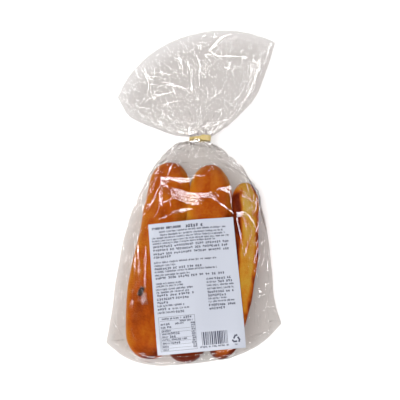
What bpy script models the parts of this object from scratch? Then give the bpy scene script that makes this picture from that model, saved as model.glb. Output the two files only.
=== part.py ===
"""Raisin rolls in a clear bag tied at its neck, lying on its back with the label side up.

The rolls can't be reached without opening the bag, so the bag is one solid out to its film. It is a loft in
two stretches that share the tied waist: the body, from the bottom seam to the waist, and the open flare, from
the waist to the mouth. +Y runs from the bottom seam to the mouth, and z = 0 is the surface that it lies on.
"""

import math

import bmesh
import bpy
from mathutils import Vector
from mathutils.bvhtree import BVHTree

MM = 0.001

# Outline of the body seen from above, in millimetres, from each bottom ear up to the waist
LEFT_OUTLINE = ((-88.5, -136.0), (-84.0, -108.0), (-80.0, -70.0), (-71.5, -24.0), (-60.5, 6.0), (-47.5, 33.0),
                (-26.0, 57.0), (-9.5, 60.0))
RIGHT_OUTLINE = ((77.3, -118.5), (71.5, -98.0), (69.7, -68.0), (65.4, -26.0), (58.4, 7.0), (42.0, 34.0),
                 (22.5, 51.5), (9.5, 60.0))
SEAM_BULGE = 28.0          # how far the bottom runs out past the straight line between the ears
SEAM_BULGE_POWER = 3.2     # how flat the bottom is between its chamfered corners
SEAM_BULGE_FADE = 0.4      # share of the body's length over which its cross lines straighten
SEAM_HALF_THICKNESS = 0.7
SEAM_HEIGHT = 13.0
EAR_HEIGHT = 9.0
EAR_TAPER = 8.0            # the seam thins to nothing over an eighth of its half width

# Sections of the body
BODY_HEIGHT = 38.5
SIDE_HEIGHT = 11.0         # height of the folded film along the body's sides
SIDE_RISE_SHARE = 0.25     # share of the body's length over which the side reaches that height
SEAM_BLEND_SHARE = 0.5     # share of the body's length over which the seam's heights give way to the sides'
BOTTOM_ROUND = 30.0        # length over which the bottom end rises to full height
SHOULDER_START = 0.70      # share of the body's length where the top starts down towards the waist
LIFT_START = 0.80          # share of the body's length where the underside leaves the surface below
END_ROUNDNESS = 2.2
TOP_SQUARENESS = 2.6
SHOULDER_SQUARENESS = 2.0
UNDERSIDE_FULLNESS = 1.25  # widens the underside's flat part
ROLL_COUNT = 3             # rolls side by side, between which the film sags
ROLL_SAG = 1.6

# The waist that the tie closes
WAIST_HALF_WIDTH = 9.5
WAIST_HALF_HEIGHT = 4.2
WAIST_CENTRE_HEIGHT = 17.0
WAIST_START = 60.0
WAIST_END = 66.5

# The flare is a fan of lines from a pole just below the waist, and these are its two sides from above
FAN_POLE = (0.0, 63.0)
LEFT_FLARE_SIDE = ((-9.5, 66.5), (-21.0, 66.8), (-36.0, 71.0), (-69.0, 86.0), (-79.0, 99.0), (-84.0, 109.0))
RIGHT_FLARE_SIDE = ((9.5, 66.5), (17.0, 68.5), (33.5, 82.5), (57.5, 110.0), (69.5, 141.0), (79.3, 170.9))
MOUTH_DIP = 4.0            # how far the middle of the mouth's edge falls inside an even spiral
FLARE_HALF_HEIGHT = 12.0
FLARE_MOUTH_HALF_HEIGHT = 7.5
FLARE_CENTRE_HEIGHT = 15.0
FLARE_OPENING_SHARE = 0.45  # share of the flare's length over which it swells
FLARE_CLOSING_START = 0.38  # share of its length where it starts to thin towards the mouth
FAN_SPREAD_SHARE = 0.25     # share of its length over which the waist's oval opens into the fan
PLEAT_START_SHARE = 0.33
FLARE_PLEATS = 9
FLARE_PLEAT_DEPTH = 1.5
UNDER_PLEAT_PHASE = 1.3     # the lower film's pleats don't line up with the upper film's
LOWEST = 0.4               # the flare's film just clears the surface below

# The tie is a yellow tape, pinched thin at the left and doubled over at the front right
TIE_GAP = 0.35
TIE_THICKNESS = 1.0
TIE_BLOCK_THICKNESS = 1.1  # added where the tape is doubled over
TIE_HALF_WIDTH = 1.4
TIE_BLOCK_HALF_WIDTH = 1.4  # added where the tape is doubled over
TIE_BLOCK_ANGLE = 52.0     # degrees up from the right about the waist
TIE_BLOCK_SPREAD = 34.0    # degrees to where the doubled tape has half ended
TIE_BLOCK_SOFTNESS = 0.25  # share of that spread over which it fades, either way
TIE_CENTRE = 63.2

# The label, stuck on the film
LABEL_WIDTH = 80.4
LABEL_LENGTH = 120.5
LABEL_CENTRE = (-3.5, -84.6)
LABEL_TURN = 5.1           # degrees, anticlockwise from above
LABEL_THICKNESS = 0.3
LABEL_GAP = 0.4

# Fineness of the meshes
ACROSS = 36
BODY_STATIONS = 34
FLARE_STATIONS = 24
END_CROWDING = 0.75        # how much closer the body's stations lie at both its ends
WAIST_CROWDING = 1.35      # how much closer the flare's stations lie near the waist
LABEL_CELLS = (15, 25)
TIE_STEPS = 48


def clear_scene():
    for obj in list(bpy.data.objects):
        bpy.data.objects.remove(obj, do_unlink=True)


def lerp(a, b, t):
    return a + (b - a) * t


def smoothstep(t):
    t = min(max(t, 0.0), 1.0)
    return t * t * (3.0 - 2.0 * t)


def quarter_round(t):
    """Rises from 0 to 1 along a quarter of a superellipse."""
    t = min(max(t, 0.0), 1.0)
    return (1.0 - (1.0 - t) ** END_ROUNDNESS) ** (1.0 / END_ROUNDNESS)


def along(points, t):
    """The place at the share t of a smooth curve through points, by a Catmull-Rom spline."""
    lengths = [0.0]
    for a, b in zip(points, points[1:]):
        lengths.append(lengths[-1] + math.dist(a, b))
    target = t * lengths[-1]
    i = 0
    while i < len(points) - 2 and lengths[i + 1] < target:
        i += 1
    u = (target - lengths[i]) / (lengths[i + 1] - lengths[i])
    p1 = Vector(points[i])
    p2 = Vector(points[i + 1])
    p0 = Vector(points[i - 1]) if i > 0 else 2 * p1 - p2
    p3 = Vector(points[i + 2]) if i + 2 < len(points) else 2 * p2 - p1
    return 0.5 * (2 * p1 + (p2 - p0) * u + (2 * p0 - 5 * p1 + 4 * p2 - p3) * u ** 2
                  + (3 * p1 - p0 - 3 * p2 + p3) * u ** 3)


def across_share(k):
    """The share of the way across at step k, closer together at both sides."""
    even = k / ACROSS
    return 0.5 * even + 0.25 * (1.0 - math.cos(math.pi * even))


def body_station(i):
    """The share of the body's length at station i, closer together at both ends."""
    even = i / BODY_STATIONS
    return even - END_CROWDING * math.sin(2.0 * math.pi * even) / (2.0 * math.pi)


def body_plan(s, w):
    """Where the body's point at s, w lies seen from above."""
    left = along(LEFT_OUTLINE, w)
    right = along(RIGHT_OUTLINE, w)
    r = abs(2.0 * s - 1.0)
    bulge = SEAM_BULGE * (1.0 - smoothstep(w / SEAM_BULGE_FADE)) * (1.0 - r ** SEAM_BULGE_POWER)
    return lerp(left.x, right.x, s), lerp(left.y, right.y, s) - bulge


def edge_height(r, w, shoulder):
    """Height of the line where the upper and the lower film meet, at r from the middle to a side."""
    seam = lerp(SEAM_HEIGHT, EAR_HEIGHT, r ** 2)
    side = lerp(EAR_HEIGHT, SIDE_HEIGHT, smoothstep(w / SIDE_RISE_SHARE))
    side = lerp(side, WAIST_CENTRE_HEIGHT, shoulder)
    return lerp(seam, side, quarter_round(w / SEAM_BLEND_SHARE))


def body_point(s, w, upper):
    """A point on the body's film: s runs from left to right, w from the bottom seam to the waist."""
    x, y = body_plan(s, w)
    r = abs(2.0 * s - 1.0)
    end = quarter_round(w * math.dist(LEFT_OUTLINE[0], LEFT_OUTLINE[-1]) / BOTTOM_ROUND)
    shoulder = smoothstep((w - SHOULDER_START) / (1.0 - SHOULDER_START))
    edge = edge_height(r, w, shoulder)
    squareness = lerp(TOP_SQUARENESS, SHOULDER_SQUARENESS, shoulder)
    rise = max(0.0, 1.0 - r ** squareness) ** 0.5
    if upper:
        crest = lerp(BODY_HEIGHT, WAIST_CENTRE_HEIGHT + WAIST_HALF_HEIGHT, shoulder)
        sag = 0.5 * ROLL_SAG * (1.0 - math.cos(2.0 * math.pi * ROLL_COUNT * (s - 0.5)))
        far = crest - sag * rise * end * (1.0 - shoulder)
    else:
        lift = smoothstep((w - LIFT_START) / (1.0 - LIFT_START))
        far = lerp(0.0, WAIST_CENTRE_HEIGHT - WAIST_HALF_HEIGHT, lift)
        rise = min(1.0, UNDERSIDE_FULLNESS * rise)
    seam_half = SEAM_HALF_THICKNESS * min(1.0, EAR_TAPER * (1.0 - r)) * (1.0 - end)
    return Vector((x, y, lerp(edge, far, rise * end) + (seam_half if upper else -seam_half)))


def waist_point(s, y, upper):
    """A point on the tied waist, an upright ellipse."""
    r = 2.0 * s - 1.0
    rise = WAIST_HALF_HEIGHT * math.sqrt(max(0.0, 1.0 - r * r))
    return Vector((WAIST_HALF_WIDTH * r, y, WAIST_CENTRE_HEIGHT + (rise if upper else -rise)))


def about_pole(point):
    """A point of the flare's outline as an angle and a radius about the fan's pole."""
    dx = point[0] - FAN_POLE[0]
    dy = point[1] - FAN_POLE[1]
    return math.atan2(dy, dx), math.hypot(dx, dy)


def flare_point(s, t, upper):
    """A point on the flare's film: s runs from left to right, t from the waist to the mouth."""
    left_angle, left_radius = about_pole(along(LEFT_FLARE_SIDE, t))
    right_angle, right_radius = about_pole(along(RIGHT_FLARE_SIDE, t))
    r = 2.0 * s - 1.0
    angle = lerp(left_angle, right_angle, s)
    radius = lerp(left_radius, right_radius, s) - MOUTH_DIP * t * (1.0 - r * r)
    start = waist_point(s, WAIST_END, upper)
    spread = smoothstep(t / FAN_SPREAD_SHARE)
    x = lerp(start.x, FAN_POLE[0] + radius * math.cos(angle), spread)
    y = lerp(start.y, FAN_POLE[1] + radius * math.sin(angle), spread)

    half = lerp(WAIST_HALF_HEIGHT, FLARE_HALF_HEIGHT, smoothstep(t / FLARE_OPENING_SHARE))
    closing = smoothstep((t - FLARE_CLOSING_START) / (1.0 - FLARE_CLOSING_START))
    half = lerp(half, FLARE_MOUTH_HALF_HEIGHT, closing)
    centre = lerp(WAIST_CENTRE_HEIGHT, FLARE_CENTRE_HEIGHT, smoothstep(t))
    rise = half * math.sqrt(max(0.0, 1.0 - r * r))
    phase = 0.0 if upper else UNDER_PLEAT_PHASE
    pleat = FLARE_PLEAT_DEPTH * smoothstep(t / PLEAT_START_SHARE) * (1.0 - r ** 4)
    pleat *= math.cos(2.0 * math.pi * FLARE_PLEATS * s + phase)
    z = centre + (rise if upper else -rise) + pleat
    return Vector((x, y, max(z, LOWEST)))


def ring(place):
    """One closed section: the upper film from left to right, then the lower film back again."""
    upper = [place(across_share(k), True) for k in range(ACROSS + 1)]
    lower = [place(across_share(k), False) for k in range(ACROSS - 1, 0, -1)]
    return upper + lower


def bag_rings():
    rings = []
    for i in range(BODY_STATIONS):
        w = body_station(i)
        rings.append(ring(lambda s, upper, w=w: body_point(s, w, upper)))
    for y in (WAIST_START, lerp(WAIST_START, WAIST_END, 0.5), WAIST_END):
        rings.append(ring(lambda s, upper, y=y: waist_point(s, y, upper)))
    for i in range(1, FLARE_STATIONS + 1):
        t = (i / FLARE_STATIONS) ** WAIST_CROWDING
        rings.append(ring(lambda s, upper, t=t: flare_point(s, t, upper)))
    return rings


def close_end(bm, verts, outward):
    """Closes an end ring with a strip from its upper to its lower film."""
    count = len(verts)
    for k in range(ACROSS):
        corners = [verts[k], verts[k + 1], verts[(count - k - 1) % count], verts[(count - k) % count]]
        face = []
        for vert in corners:
            if vert not in face:
                face.append(vert)
        bm.faces.new(face if outward else face[::-1])


def make_object(name, bm, material):
    mesh = bpy.data.meshes.new(name)
    bmesh.ops.recalc_face_normals(bm, faces=bm.faces)
    bm.to_mesh(mesh)
    bm.free()
    mesh.materials.append(material)
    mesh.shade_smooth()
    mesh.set_sharp_from_angle(angle=math.radians(50.0))
    obj = bpy.data.objects.new(name, mesh)
    bpy.context.scene.collection.objects.link(obj)
    return obj


def make_material(name, colour, roughness, alpha=1.0):
    material = bpy.data.materials.new(name)
    material.use_nodes = True
    shader = material.node_tree.nodes["Principled BSDF"]
    shader.inputs["Base Color"].default_value = (*colour, 1.0)
    shader.inputs["Roughness"].default_value = roughness
    shader.inputs["Metallic"].default_value = 0.0
    shader.inputs["Alpha"].default_value = alpha
    return material


def make_bag():
    bm = bmesh.new()
    rings = [[bm.verts.new(point * MM) for point in points] for points in bag_rings()]
    for low, high in zip(rings, rings[1:]):
        count = len(low)
        for k in range(count):
            n = (k + 1) % count
            bm.faces.new((low[k], low[n], high[n], high[k]))
    close_end(bm, rings[0], False)
    close_end(bm, rings[-1], True)
    bmesh.ops.triangulate(bm, faces=bm.faces)
    return make_object("bag", bm, make_material("film", (0.80, 0.77, 0.75), 0.15, 0.35))


def tie_section(angle):
    """The tape's cut across its length at one angle about the waist: four corners, outward first."""
    away = math.degrees(abs(math.remainder(angle - math.radians(TIE_BLOCK_ANGLE), 2.0 * math.pi)))
    past = away / TIE_BLOCK_SPREAD - (1.0 - TIE_BLOCK_SOFTNESS)
    block = 1.0 - smoothstep(past / (2.0 * TIE_BLOCK_SOFTNESS))
    inner = TIE_GAP
    outer = TIE_GAP + TIE_THICKNESS + TIE_BLOCK_THICKNESS * block
    half = TIE_HALF_WIDTH + TIE_BLOCK_HALF_WIDTH * block
    corners = []
    for gap, side in ((inner, -half), (outer, -half), (outer, half), (inner, half)):
        x = (WAIST_HALF_WIDTH + gap) * math.cos(angle)
        z = WAIST_CENTRE_HEIGHT + (WAIST_HALF_HEIGHT + gap) * math.sin(angle)
        corners.append(Vector((x, TIE_CENTRE + side, z)))
    return corners


def make_tie():
    bm = bmesh.new()
    sections = []
    for i in range(TIE_STEPS):
        angle = 2.0 * math.pi * i / TIE_STEPS
        sections.append([bm.verts.new(point * MM) for point in tie_section(angle)])
    for i, here in enumerate(sections):
        there = sections[(i + 1) % TIE_STEPS]
        for k in range(4):
            n = (k + 1) % 4
            bm.faces.new((here[k], here[n], there[n], there[k]))
    return make_object("tie", bm, make_material("tie_tape", (0.62, 0.47, 0.16), 0.45))


def label_place(i, j):
    """The label's grid point i across and j along, seen from above, in millimetres."""
    dx = (i / LABEL_CELLS[0] - 0.5) * LABEL_WIDTH
    dy = (j / LABEL_CELLS[1] - 0.5) * LABEL_LENGTH
    turn = math.radians(LABEL_TURN)
    x = LABEL_CENTRE[0] + dx * math.cos(turn) - dy * math.sin(turn)
    y = LABEL_CENTRE[1] + dx * math.sin(turn) + dy * math.cos(turn)
    return x, y


def label_height(film, i, j):
    """The label's underside over grid point i, j, raised where the film curves up between grid points."""
    def height(di, dj):
        x, y = label_place(i + di, j + dj)
        hit = film.ray_cast(Vector((x * MM, y * MM, 2.0 * BODY_HEIGHT * MM)), Vector((0.0, 0.0, -1.0)))[0]
        return hit.z / MM
    middle = height(0.0, 0.0)
    across = middle - 0.5 * (height(-0.5, 0.0) + height(0.5, 0.0))
    down = middle - 0.5 * (height(0.0, -0.5) + height(0.0, 0.5))
    return middle + LABEL_GAP + max(across, down, 0.0)


def make_label(bag):
    """A thin sheet laid on the bag's upper film, held a little off it."""
    film = BVHTree.FromObject(bag, bpy.context.evaluated_depsgraph_get())
    bm = bmesh.new()
    layers = ([], [])
    for j in range(LABEL_CELLS[1] + 1):
        for i in range(LABEL_CELLS[0] + 1):
            x, y = label_place(i, j)
            under = label_height(film, i, j)
            for layer, z in zip(layers, (under, under + LABEL_THICKNESS)):
                layer.append(bm.verts.new((x * MM, y * MM, z * MM)))
    row = LABEL_CELLS[0] + 1
    for layer in layers:
        for j in range(LABEL_CELLS[1]):
            for i in range(LABEL_CELLS[0]):
                a = j * row + i
                bm.faces.new((layer[a], layer[a + 1], layer[a + row + 1], layer[a + row]))
    rim = list(range(row))
    rim += [j * row + row - 1 for j in range(1, LABEL_CELLS[1] + 1)]
    rim += [LABEL_CELLS[1] * row + i for i in range(row - 2, -1, -1)]
    rim += [j * row for j in range(LABEL_CELLS[1] - 1, 0, -1)]
    for a, b in zip(rim, rim[1:] + rim[:1]):
        bm.faces.new((layers[0][a], layers[0][b], layers[1][b], layers[1][a]))
    return make_object("label", bm, make_material("label_paper", (0.72, 0.74, 0.82), 0.4))


def centre_on_base(objects):
    """Moves the meshes so that the origin is at the middle of their box, on the surface they lie on."""
    corners = [vert.co for obj in objects for vert in obj.data.vertices]
    middle_x = 0.5 * (min(c.x for c in corners) + max(c.x for c in corners))
    middle_y = 0.5 * (min(c.y for c in corners) + max(c.y for c in corners))
    for obj in objects:
        for vert in obj.data.vertices:
            vert.co.x -= middle_x
            vert.co.y -= middle_y


def main():
    clear_scene()
    bag = make_bag()
    tie = make_tie()
    label = make_label(bag)
    centre_on_base([bag, tie, label])


main()
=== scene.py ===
"""The looks of the tied bag of raisin rolls: clear film, rolls, label print and the yellow tie."""

import math

import bmesh
import bpy
import numpy as np
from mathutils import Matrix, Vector
from mathutils.bvhtree import BVHTree


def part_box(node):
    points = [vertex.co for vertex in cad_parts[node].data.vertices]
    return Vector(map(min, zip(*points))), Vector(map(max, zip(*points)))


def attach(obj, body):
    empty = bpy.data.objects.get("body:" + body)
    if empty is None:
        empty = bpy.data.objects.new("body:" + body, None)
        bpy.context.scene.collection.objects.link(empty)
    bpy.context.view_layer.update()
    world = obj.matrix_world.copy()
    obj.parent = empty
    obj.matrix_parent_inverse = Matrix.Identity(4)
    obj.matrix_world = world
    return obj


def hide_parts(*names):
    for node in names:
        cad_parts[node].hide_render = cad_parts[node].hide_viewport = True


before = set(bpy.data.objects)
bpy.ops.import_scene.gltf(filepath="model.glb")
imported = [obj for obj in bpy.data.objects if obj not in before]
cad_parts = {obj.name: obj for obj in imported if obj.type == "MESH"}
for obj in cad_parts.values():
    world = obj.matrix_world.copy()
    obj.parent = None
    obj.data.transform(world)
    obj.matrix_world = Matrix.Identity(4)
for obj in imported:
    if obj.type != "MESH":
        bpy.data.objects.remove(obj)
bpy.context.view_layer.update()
MM = 0.001

# The part's drawing has its own origin; these two places in the frame say where it lies
EAR_X = -88.5
TIE_Y = 63.2
BAG_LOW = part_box("bag")[0]
TIE_LOW, TIE_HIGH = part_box("tie")
OFFSET = np.array([BAG_LOW.x / MM - EAR_X, 0.5 * (TIE_LOW.y + TIE_HIGH.y) / MM - TIE_Y, 0.0])

# The camera looks down on the bag from its bottom end
CAMERA_TARGET = (0.0, 0.0, 18.0)
CAMERA_ELEVATION = 76.0
CAMERA_DISTANCE = 620.0
MM_PER_PIXEL = 0.98
IMAGE_PIXELS = 400
SENSOR_WIDTH = 36.0
CLIP_START = 0.01

# Outline of the body seen from above, in millimetres, from each bottom ear up to the waist, as in the solid
LEFT_OUTLINE = ((-88.5, -136.0), (-84.0, -108.0), (-80.0, -70.0), (-71.5, -24.0), (-60.5, 6.0),
                (-47.5, 33.0), (-26.0, 57.0), (-9.5, 60.0))
RIGHT_OUTLINE = ((77.3, -118.5), (71.5, -98.0), (69.7, -68.0), (65.4, -26.0), (58.4, 7.0),
                 (42.0, 34.0), (22.5, 51.5), (9.5, 60.0))
SEAM_BULGE = 28.0
SEAM_BULGE_POWER = 3.2
SEAM_BULGE_FADE = 0.4
SEAM_HEIGHT = 13.0
EAR_HEIGHT = 9.0
BODY_HEIGHT = 38.5
SIDE_HEIGHT = 11.0
SIDE_RISE_SHARE = 0.25
SEAM_BLEND_SHARE = 0.5
BOTTOM_ROUND = 30.0
END_ROUNDNESS = 2.2
SHOULDER_START = 0.70
LIFT_START = 0.80
TOP_SQUARENESS = 2.6
SHOULDER_SQUARENESS = 2.0
UNDERSIDE_FULLNESS = 1.25
ROLL_COUNT = 3
ROLL_SAG = 1.6

WAIST_HALF_WIDTH = 9.5
WAIST_HALF_HEIGHT = 4.2
WAIST_CENTRE_HEIGHT = 17.0
WAIST_START = 60.0
WAIST_END = 66.5

FAN_POLE = (0.0, 63.0)
LEFT_FLARE_SIDE = ((-9.5, 66.5), (-21.0, 66.8), (-36.0, 71.0), (-69.0, 86.0), (-79.0, 99.0), (-84.0, 109.0))
RIGHT_FLARE_SIDE = ((9.5, 66.5), (17.0, 68.5), (33.5, 82.5), (57.5, 110.0), (69.5, 141.0), (79.3, 170.9))
MOUTH_DIP = 4.0
FLARE_HALF_HEIGHT = 12.0
FLARE_MOUTH_HALF_HEIGHT = 7.5
FLARE_CENTRE_HEIGHT = 15.0
FLARE_OPENING_SHARE = 0.45
FLARE_CLOSING_START = 0.38
FAN_SPREAD_SHARE = 0.25
LOWEST = 0.4

# Film grid for the simulation: steps across one side, and stations along the body, the waist and the flare
ACROSS = 88
BODY_STATIONS = 84
WAIST_STATIONS = 4
FLARE_STATIONS = 64
SEAM_CROWDING = 0.6
FLARE_CROWDING = 1.2

# Finer grids of the two film pieces
BODY_ROWS = 240
BODY_UPPER_STEPS = 300
BODY_LOWER_STEPS = 100
FLARE_ROWS = 230
FLARE_STEPS = 400

# The two layers come together towards the mouth
MOUTH_CLOSING = 0.9
MOUTH_CLOSING_START = 0.45

# Simulation, in units of a tenth of a metre per unit
SIM_SCALE = 0.01
SIM_FRAMES = 24
PLEAT_REACH = 38.0
PLEAT_HEIGHT = 1.1
START_NOISE = 0.4
START_CELL = 9.0
START_SEED = 50
START_APART = 31.0
PLEATS = ((13, 0.3, 1.0), (21, 1.9, 0.8), (34, 4.0, 0.45))
PLEAT_TURN = 0.02
PLEAT_SIDEWAYS = 0.3
PLEAT_SHIFT = 3

# How firmly the film keeps its place, and how much length it has to spare, as shares
BODY_HOLD = 0.33
FLARE_HOLD = 0.25
HOLD_UNEVEN = 0.06
HOLD_CELL = 16.0
HOLD_SEED = 77
EDGE_HOLDS = (0.9, 0.6, 0.45)
SEAM_HOLD = 1.0
MOUTH_HOLD = 0.9
NEXT_ROW_HOLD = 0.6
BODY_GROWTH = 0.038
FLARE_GROWTH = 0.02
NECK_GROWTH = 0.08
NECK_GROWTH_REACH = 45.0
GROWTH_EDGE_STEPS = 7.0
GROWTH_UNEVEN = 0.5
GROWTH_CELL = 22.0
GROWTH_SEED = 91
GROUND_HALF = 400.0
SOLID_SKIN = 0.005
CLOTH_GAP = 0.008
CLOTH_GRAVITY = 0.05
CLOTH_VALUES = {
    "quality": 5, "mass": 0.08, "tension_stiffness": 25.0, "compression_stiffness": 25.0,
    "shear_stiffness": 12.0, "bending_stiffness": 0.02, "tension_damping": 2.0, "compression_damping": 2.0,
    "shear_damping": 2.0, "bending_damping": 0.3, "air_damping": 2.0, "vertex_group_mass": "hold",
    "shrink_max": 0.0, "vertex_group_shrink": "less"}

# Rolls: places from the bottom tip to the top tip, each with x and y of the middle and the half width,
# then how much darker the bottom end is, how much darker the left side is baked, and how much painted shade
# darkens the lower right flank beside the next roll
ROLLS = {
    "roll_left": {
        "places": ((-46.5, -151.5, 19.0), (-47.0, -136.7, 20.8), (-47.8, -121.9, 21.8),
                   (-47.2, -100.0, 22.0), (-44.8, -75.2, 22.0), (-40.7, -52.4, 22.0),
                   (-36.7, -32.9, 22.0), (-34.0, -13.4, 22.0),
                   (-31.2, 3.3, 21.4), (-29.5, 17.0, 20.0), (-28.9, 28.0, 18.2), (-28.4, 38.2, 17.0)),
        "height": 36.6, "bottom_round": 22.0, "top_round": 21.0, "side_lying": False, "seed": 3,
        "bottom_darker": 0.22, "right_painted_shade": 0.0, "left_bake": 0.0},
    "roll_middle": {
        "places": ((-17.0, -154.0, 17.0), (-13.2, -136.0, 20.2), (-8.9, -118.0, 21.9), (-4.0, -96.0, 22.6),
                   (2.0, -64.0, 22.6), (6.8, -36.0, 22.7), (9.6, -10.0, 22.4), (10.2, 6.0, 21.2),
                   (10.4, 18.5, 18.8), (10.8, 28.0, 15.8), (11.0, 35.4, 14.2)),
        "height": 36.9, "bottom_round": 20.0, "top_round": 21.0, "side_lying": False, "seed": 7,
        "bottom_darker": 0.72, "right_painted_shade": 0.55, "left_bake": -0.14},
    "roll_right": {
        "places": ((14.5, -150.5, 13.0), (21.0, -136.0, 14.0), (27.0, -121.0, 14.5), (33.6, -98.0, 14.9),
                   (37.6, -75.0, 14.9), (41.0, -50.0, 14.9), (42.5, -28.0, 14.9), (43.2, -8.0, 14.4),
                   (43.8, 3.0, 13.2), (44.1, 11.0, 11.6), (44.2, 17.5, 10.2)),
        "height": 37.0, "bottom_round": 20.0, "top_round": 19.0, "side_lying": True, "seed": 12,
        "bottom_darker": 0.66, "right_painted_shade": 0.0, "left_bake": 0.0}}

# Grids of the rolls, coarser ones for the film to rest on, and the rolls' form
ROLL_STATIONS = 290
ROLL_AROUND = 150
COARSE_STATIONS = 130
COARSE_AROUND = 96
ROLL_BASE = 0.8
ROLL_CLEARANCE = 0.9
ROLL_PRESS = 1.6
ROLL_FOOT = 0.6
ROLL_EVEN_SHARE = 0.35
ROLL_END_DROP = 0.3
ROLL_SWELLS = ((30.0, 0.8), (12.0, 0.35))
ROLL_WRINKLE = 0.16
ROLL_WRINKLE_CELL = (3.2, 5.5, 3.2)
ROLL_SHRINK = 0.3
DOME_POWER = 2.1
BASE_POWER = 3.0
LYING_POWERS = (2.15, 1.6)
LYING_MIDDLE = 0.5
LYING_CHANGE = 0.9

# Baking and painted shade, 0 pale to 1 dark. A fade runs from 0 to 1 between two values, such as shares or
# places along y
DOME_BAKE = 0.62
PALE_BAKE = 0.08
SIDE_FADE = (0.45, 0.95)
SIDE_LIGHTER = 0.34
FACING_FADE = (1.2, 0.2)
TOP_FADE = (12.0, 30.0)
TOP_DARKER = 0.04
LOW_FADE = (-40.0, -100.0)
LOW_DARKER = 0.10
PALE_LOW_FADE = (-35.0, -95.0)
PALE_LOW_DARKER = 0.15
PALE_TOP_FADE = (2.0, 18.0)
PALE_TOP_DARKER = 0.34
DARK_SIDE = 0.88
DARK_SIDE_BORDER = -0.16
DARK_SIDE_WAVE = 0.16
DARK_SIDE_CELL = 11.0
DARK_SIDE_WIDTH = 0.30
DARK_SIDE_END = (9.0, 1.0)
RIM = 0.52
RIM_FADE = (0.60, 0.94)
MOTTLE = 0.26
MOTTLE_CELL = (4.5, 8.0, 4.5)
MOTTLE_FADE = (0.28, 0.68)
# Painted shade on the lower right flank of a roll beside the next roll: its fade across the roll, then its
# fade along y
SHADED_FADE = (0.5, 0.85)
SHADED_END = (-12.0, -24.0)
LEFT_FADE = (0.0, -0.6)
BOTTOM_FADE = (-136.0, -150.0)
CLOUDS = ((17.0, 0.10, 5), ((4.0, 9.0, 4.0), 0.07, 6))

# Crust: its colours from pale to dark, its mottles and its grain
CRUST_PALE = (0.86, 0.52, 0.06)
CRUST_GOLD = (0.80, 0.27, 0.018)
CRUST_BROWN = (0.60, 0.110, 0.006)
CRUST_DARK = (0.17, 0.018, 0.003)
CRUST_GLOSS = 0.06
CRUST_ROUGHNESS = 0.4
CRUST_NOISES = ((90.0, 4.0, 0.36), (420.0, 5.0, 0.28))
CRUST_STOPS = ((0.33, CRUST_GOLD), (0.66, CRUST_BROWN))
GRAIN_SCALE = 650.0
GRAIN_DETAIL = 6.0
GRAIN_STRENGTH = 0.7
GRAIN_DEPTH = 0.0006

# Film: what one layer lets through, and its gloss
# The body's film is darker than the flare's: partly its own tint, partly painted shade of the floor under
# the bag seen through it
BODY_TINT_AND_SHADE = (0.770, 0.756, 0.746)
FLARE_TINT = (0.804, 0.790, 0.782)
FOLD_TINT = (0.95, 0.945, 0.94)
FILM_ROUGHNESS = 0.06
FOLD_ROUGHNESS = 0.06
GLEAM_ROUGHNESS = 0.12
BODY_IOR = 1.07
FLARE_IOR = 1.15
FOLD_IOR = 1.46
GLEAM_IOR = 1.32
FILM_MOST_GLOSS = 0.2

# Plain colours with their roughness
TIE_LOOK = ((0.62, 0.47, 0.16), 0.45)
LABEL_LOOK = ((0.56, 0.585, 0.665), 0.4)
INK_LOOK = ((0.045, 0.05, 0.09), 0.5)
RAISIN_LOOK = ((0.035, 0.018, 0.014), 0.38)
FLOOR_HALF = 3000.0
FLOOR_SHADE = 0.9
FLOOR_ROUGHNESS = 0.9
FLOOR_GLOW = 0.3

# Light: pale surroundings, a soft overhead light, and softboxes around the bag that show in gloss only,
# each with its direction, width, height and brightness
SURROUNDINGS = 0.15
OVERHEAD_STRENGTH = 3.3
OVERHEAD_SPREAD = 55.0
OVERHEAD_FROM = (-0.3, -0.25, 1.0)
SOFTBOX_DISTANCE = 1450.0
SOFTBOXES = (("softbox_right", (0.66, 0.30, 0.67), 0.95, 0.16, 24.0),
             ("softbox_right_back", (0.46, 0.70, 0.54), 0.60, 0.16, 26.0),
             ("softbox_back", (0.0, 0.81, 0.59), 0.65, 0.15, 30.0),
             ("softbox_left_back", (-0.46, 0.70, 0.54), 0.60, 0.16, 26.0),
             ("softbox_left", (-0.66, 0.30, 0.67), 0.95, 0.16, 24.0),
             ("softbox_front", (0.0, -0.70, 0.71), 1.1, 0.18, 22.0))

# How many layers of film a ray of light passes, and how often it bounces
FILM_LAYERS_PASSED = 48
LIGHT_BOUNCES = 12

# The label's place on the film, as in the solid
LABEL_WIDTH = 80.4
LABEL_LENGTH = 120.5
LABEL_CENTRE = (-3.5, -84.6)
LABEL_TURN = 5.1
LABEL_MARGIN = 1.5
LABEL_FADE = 6.0

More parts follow.
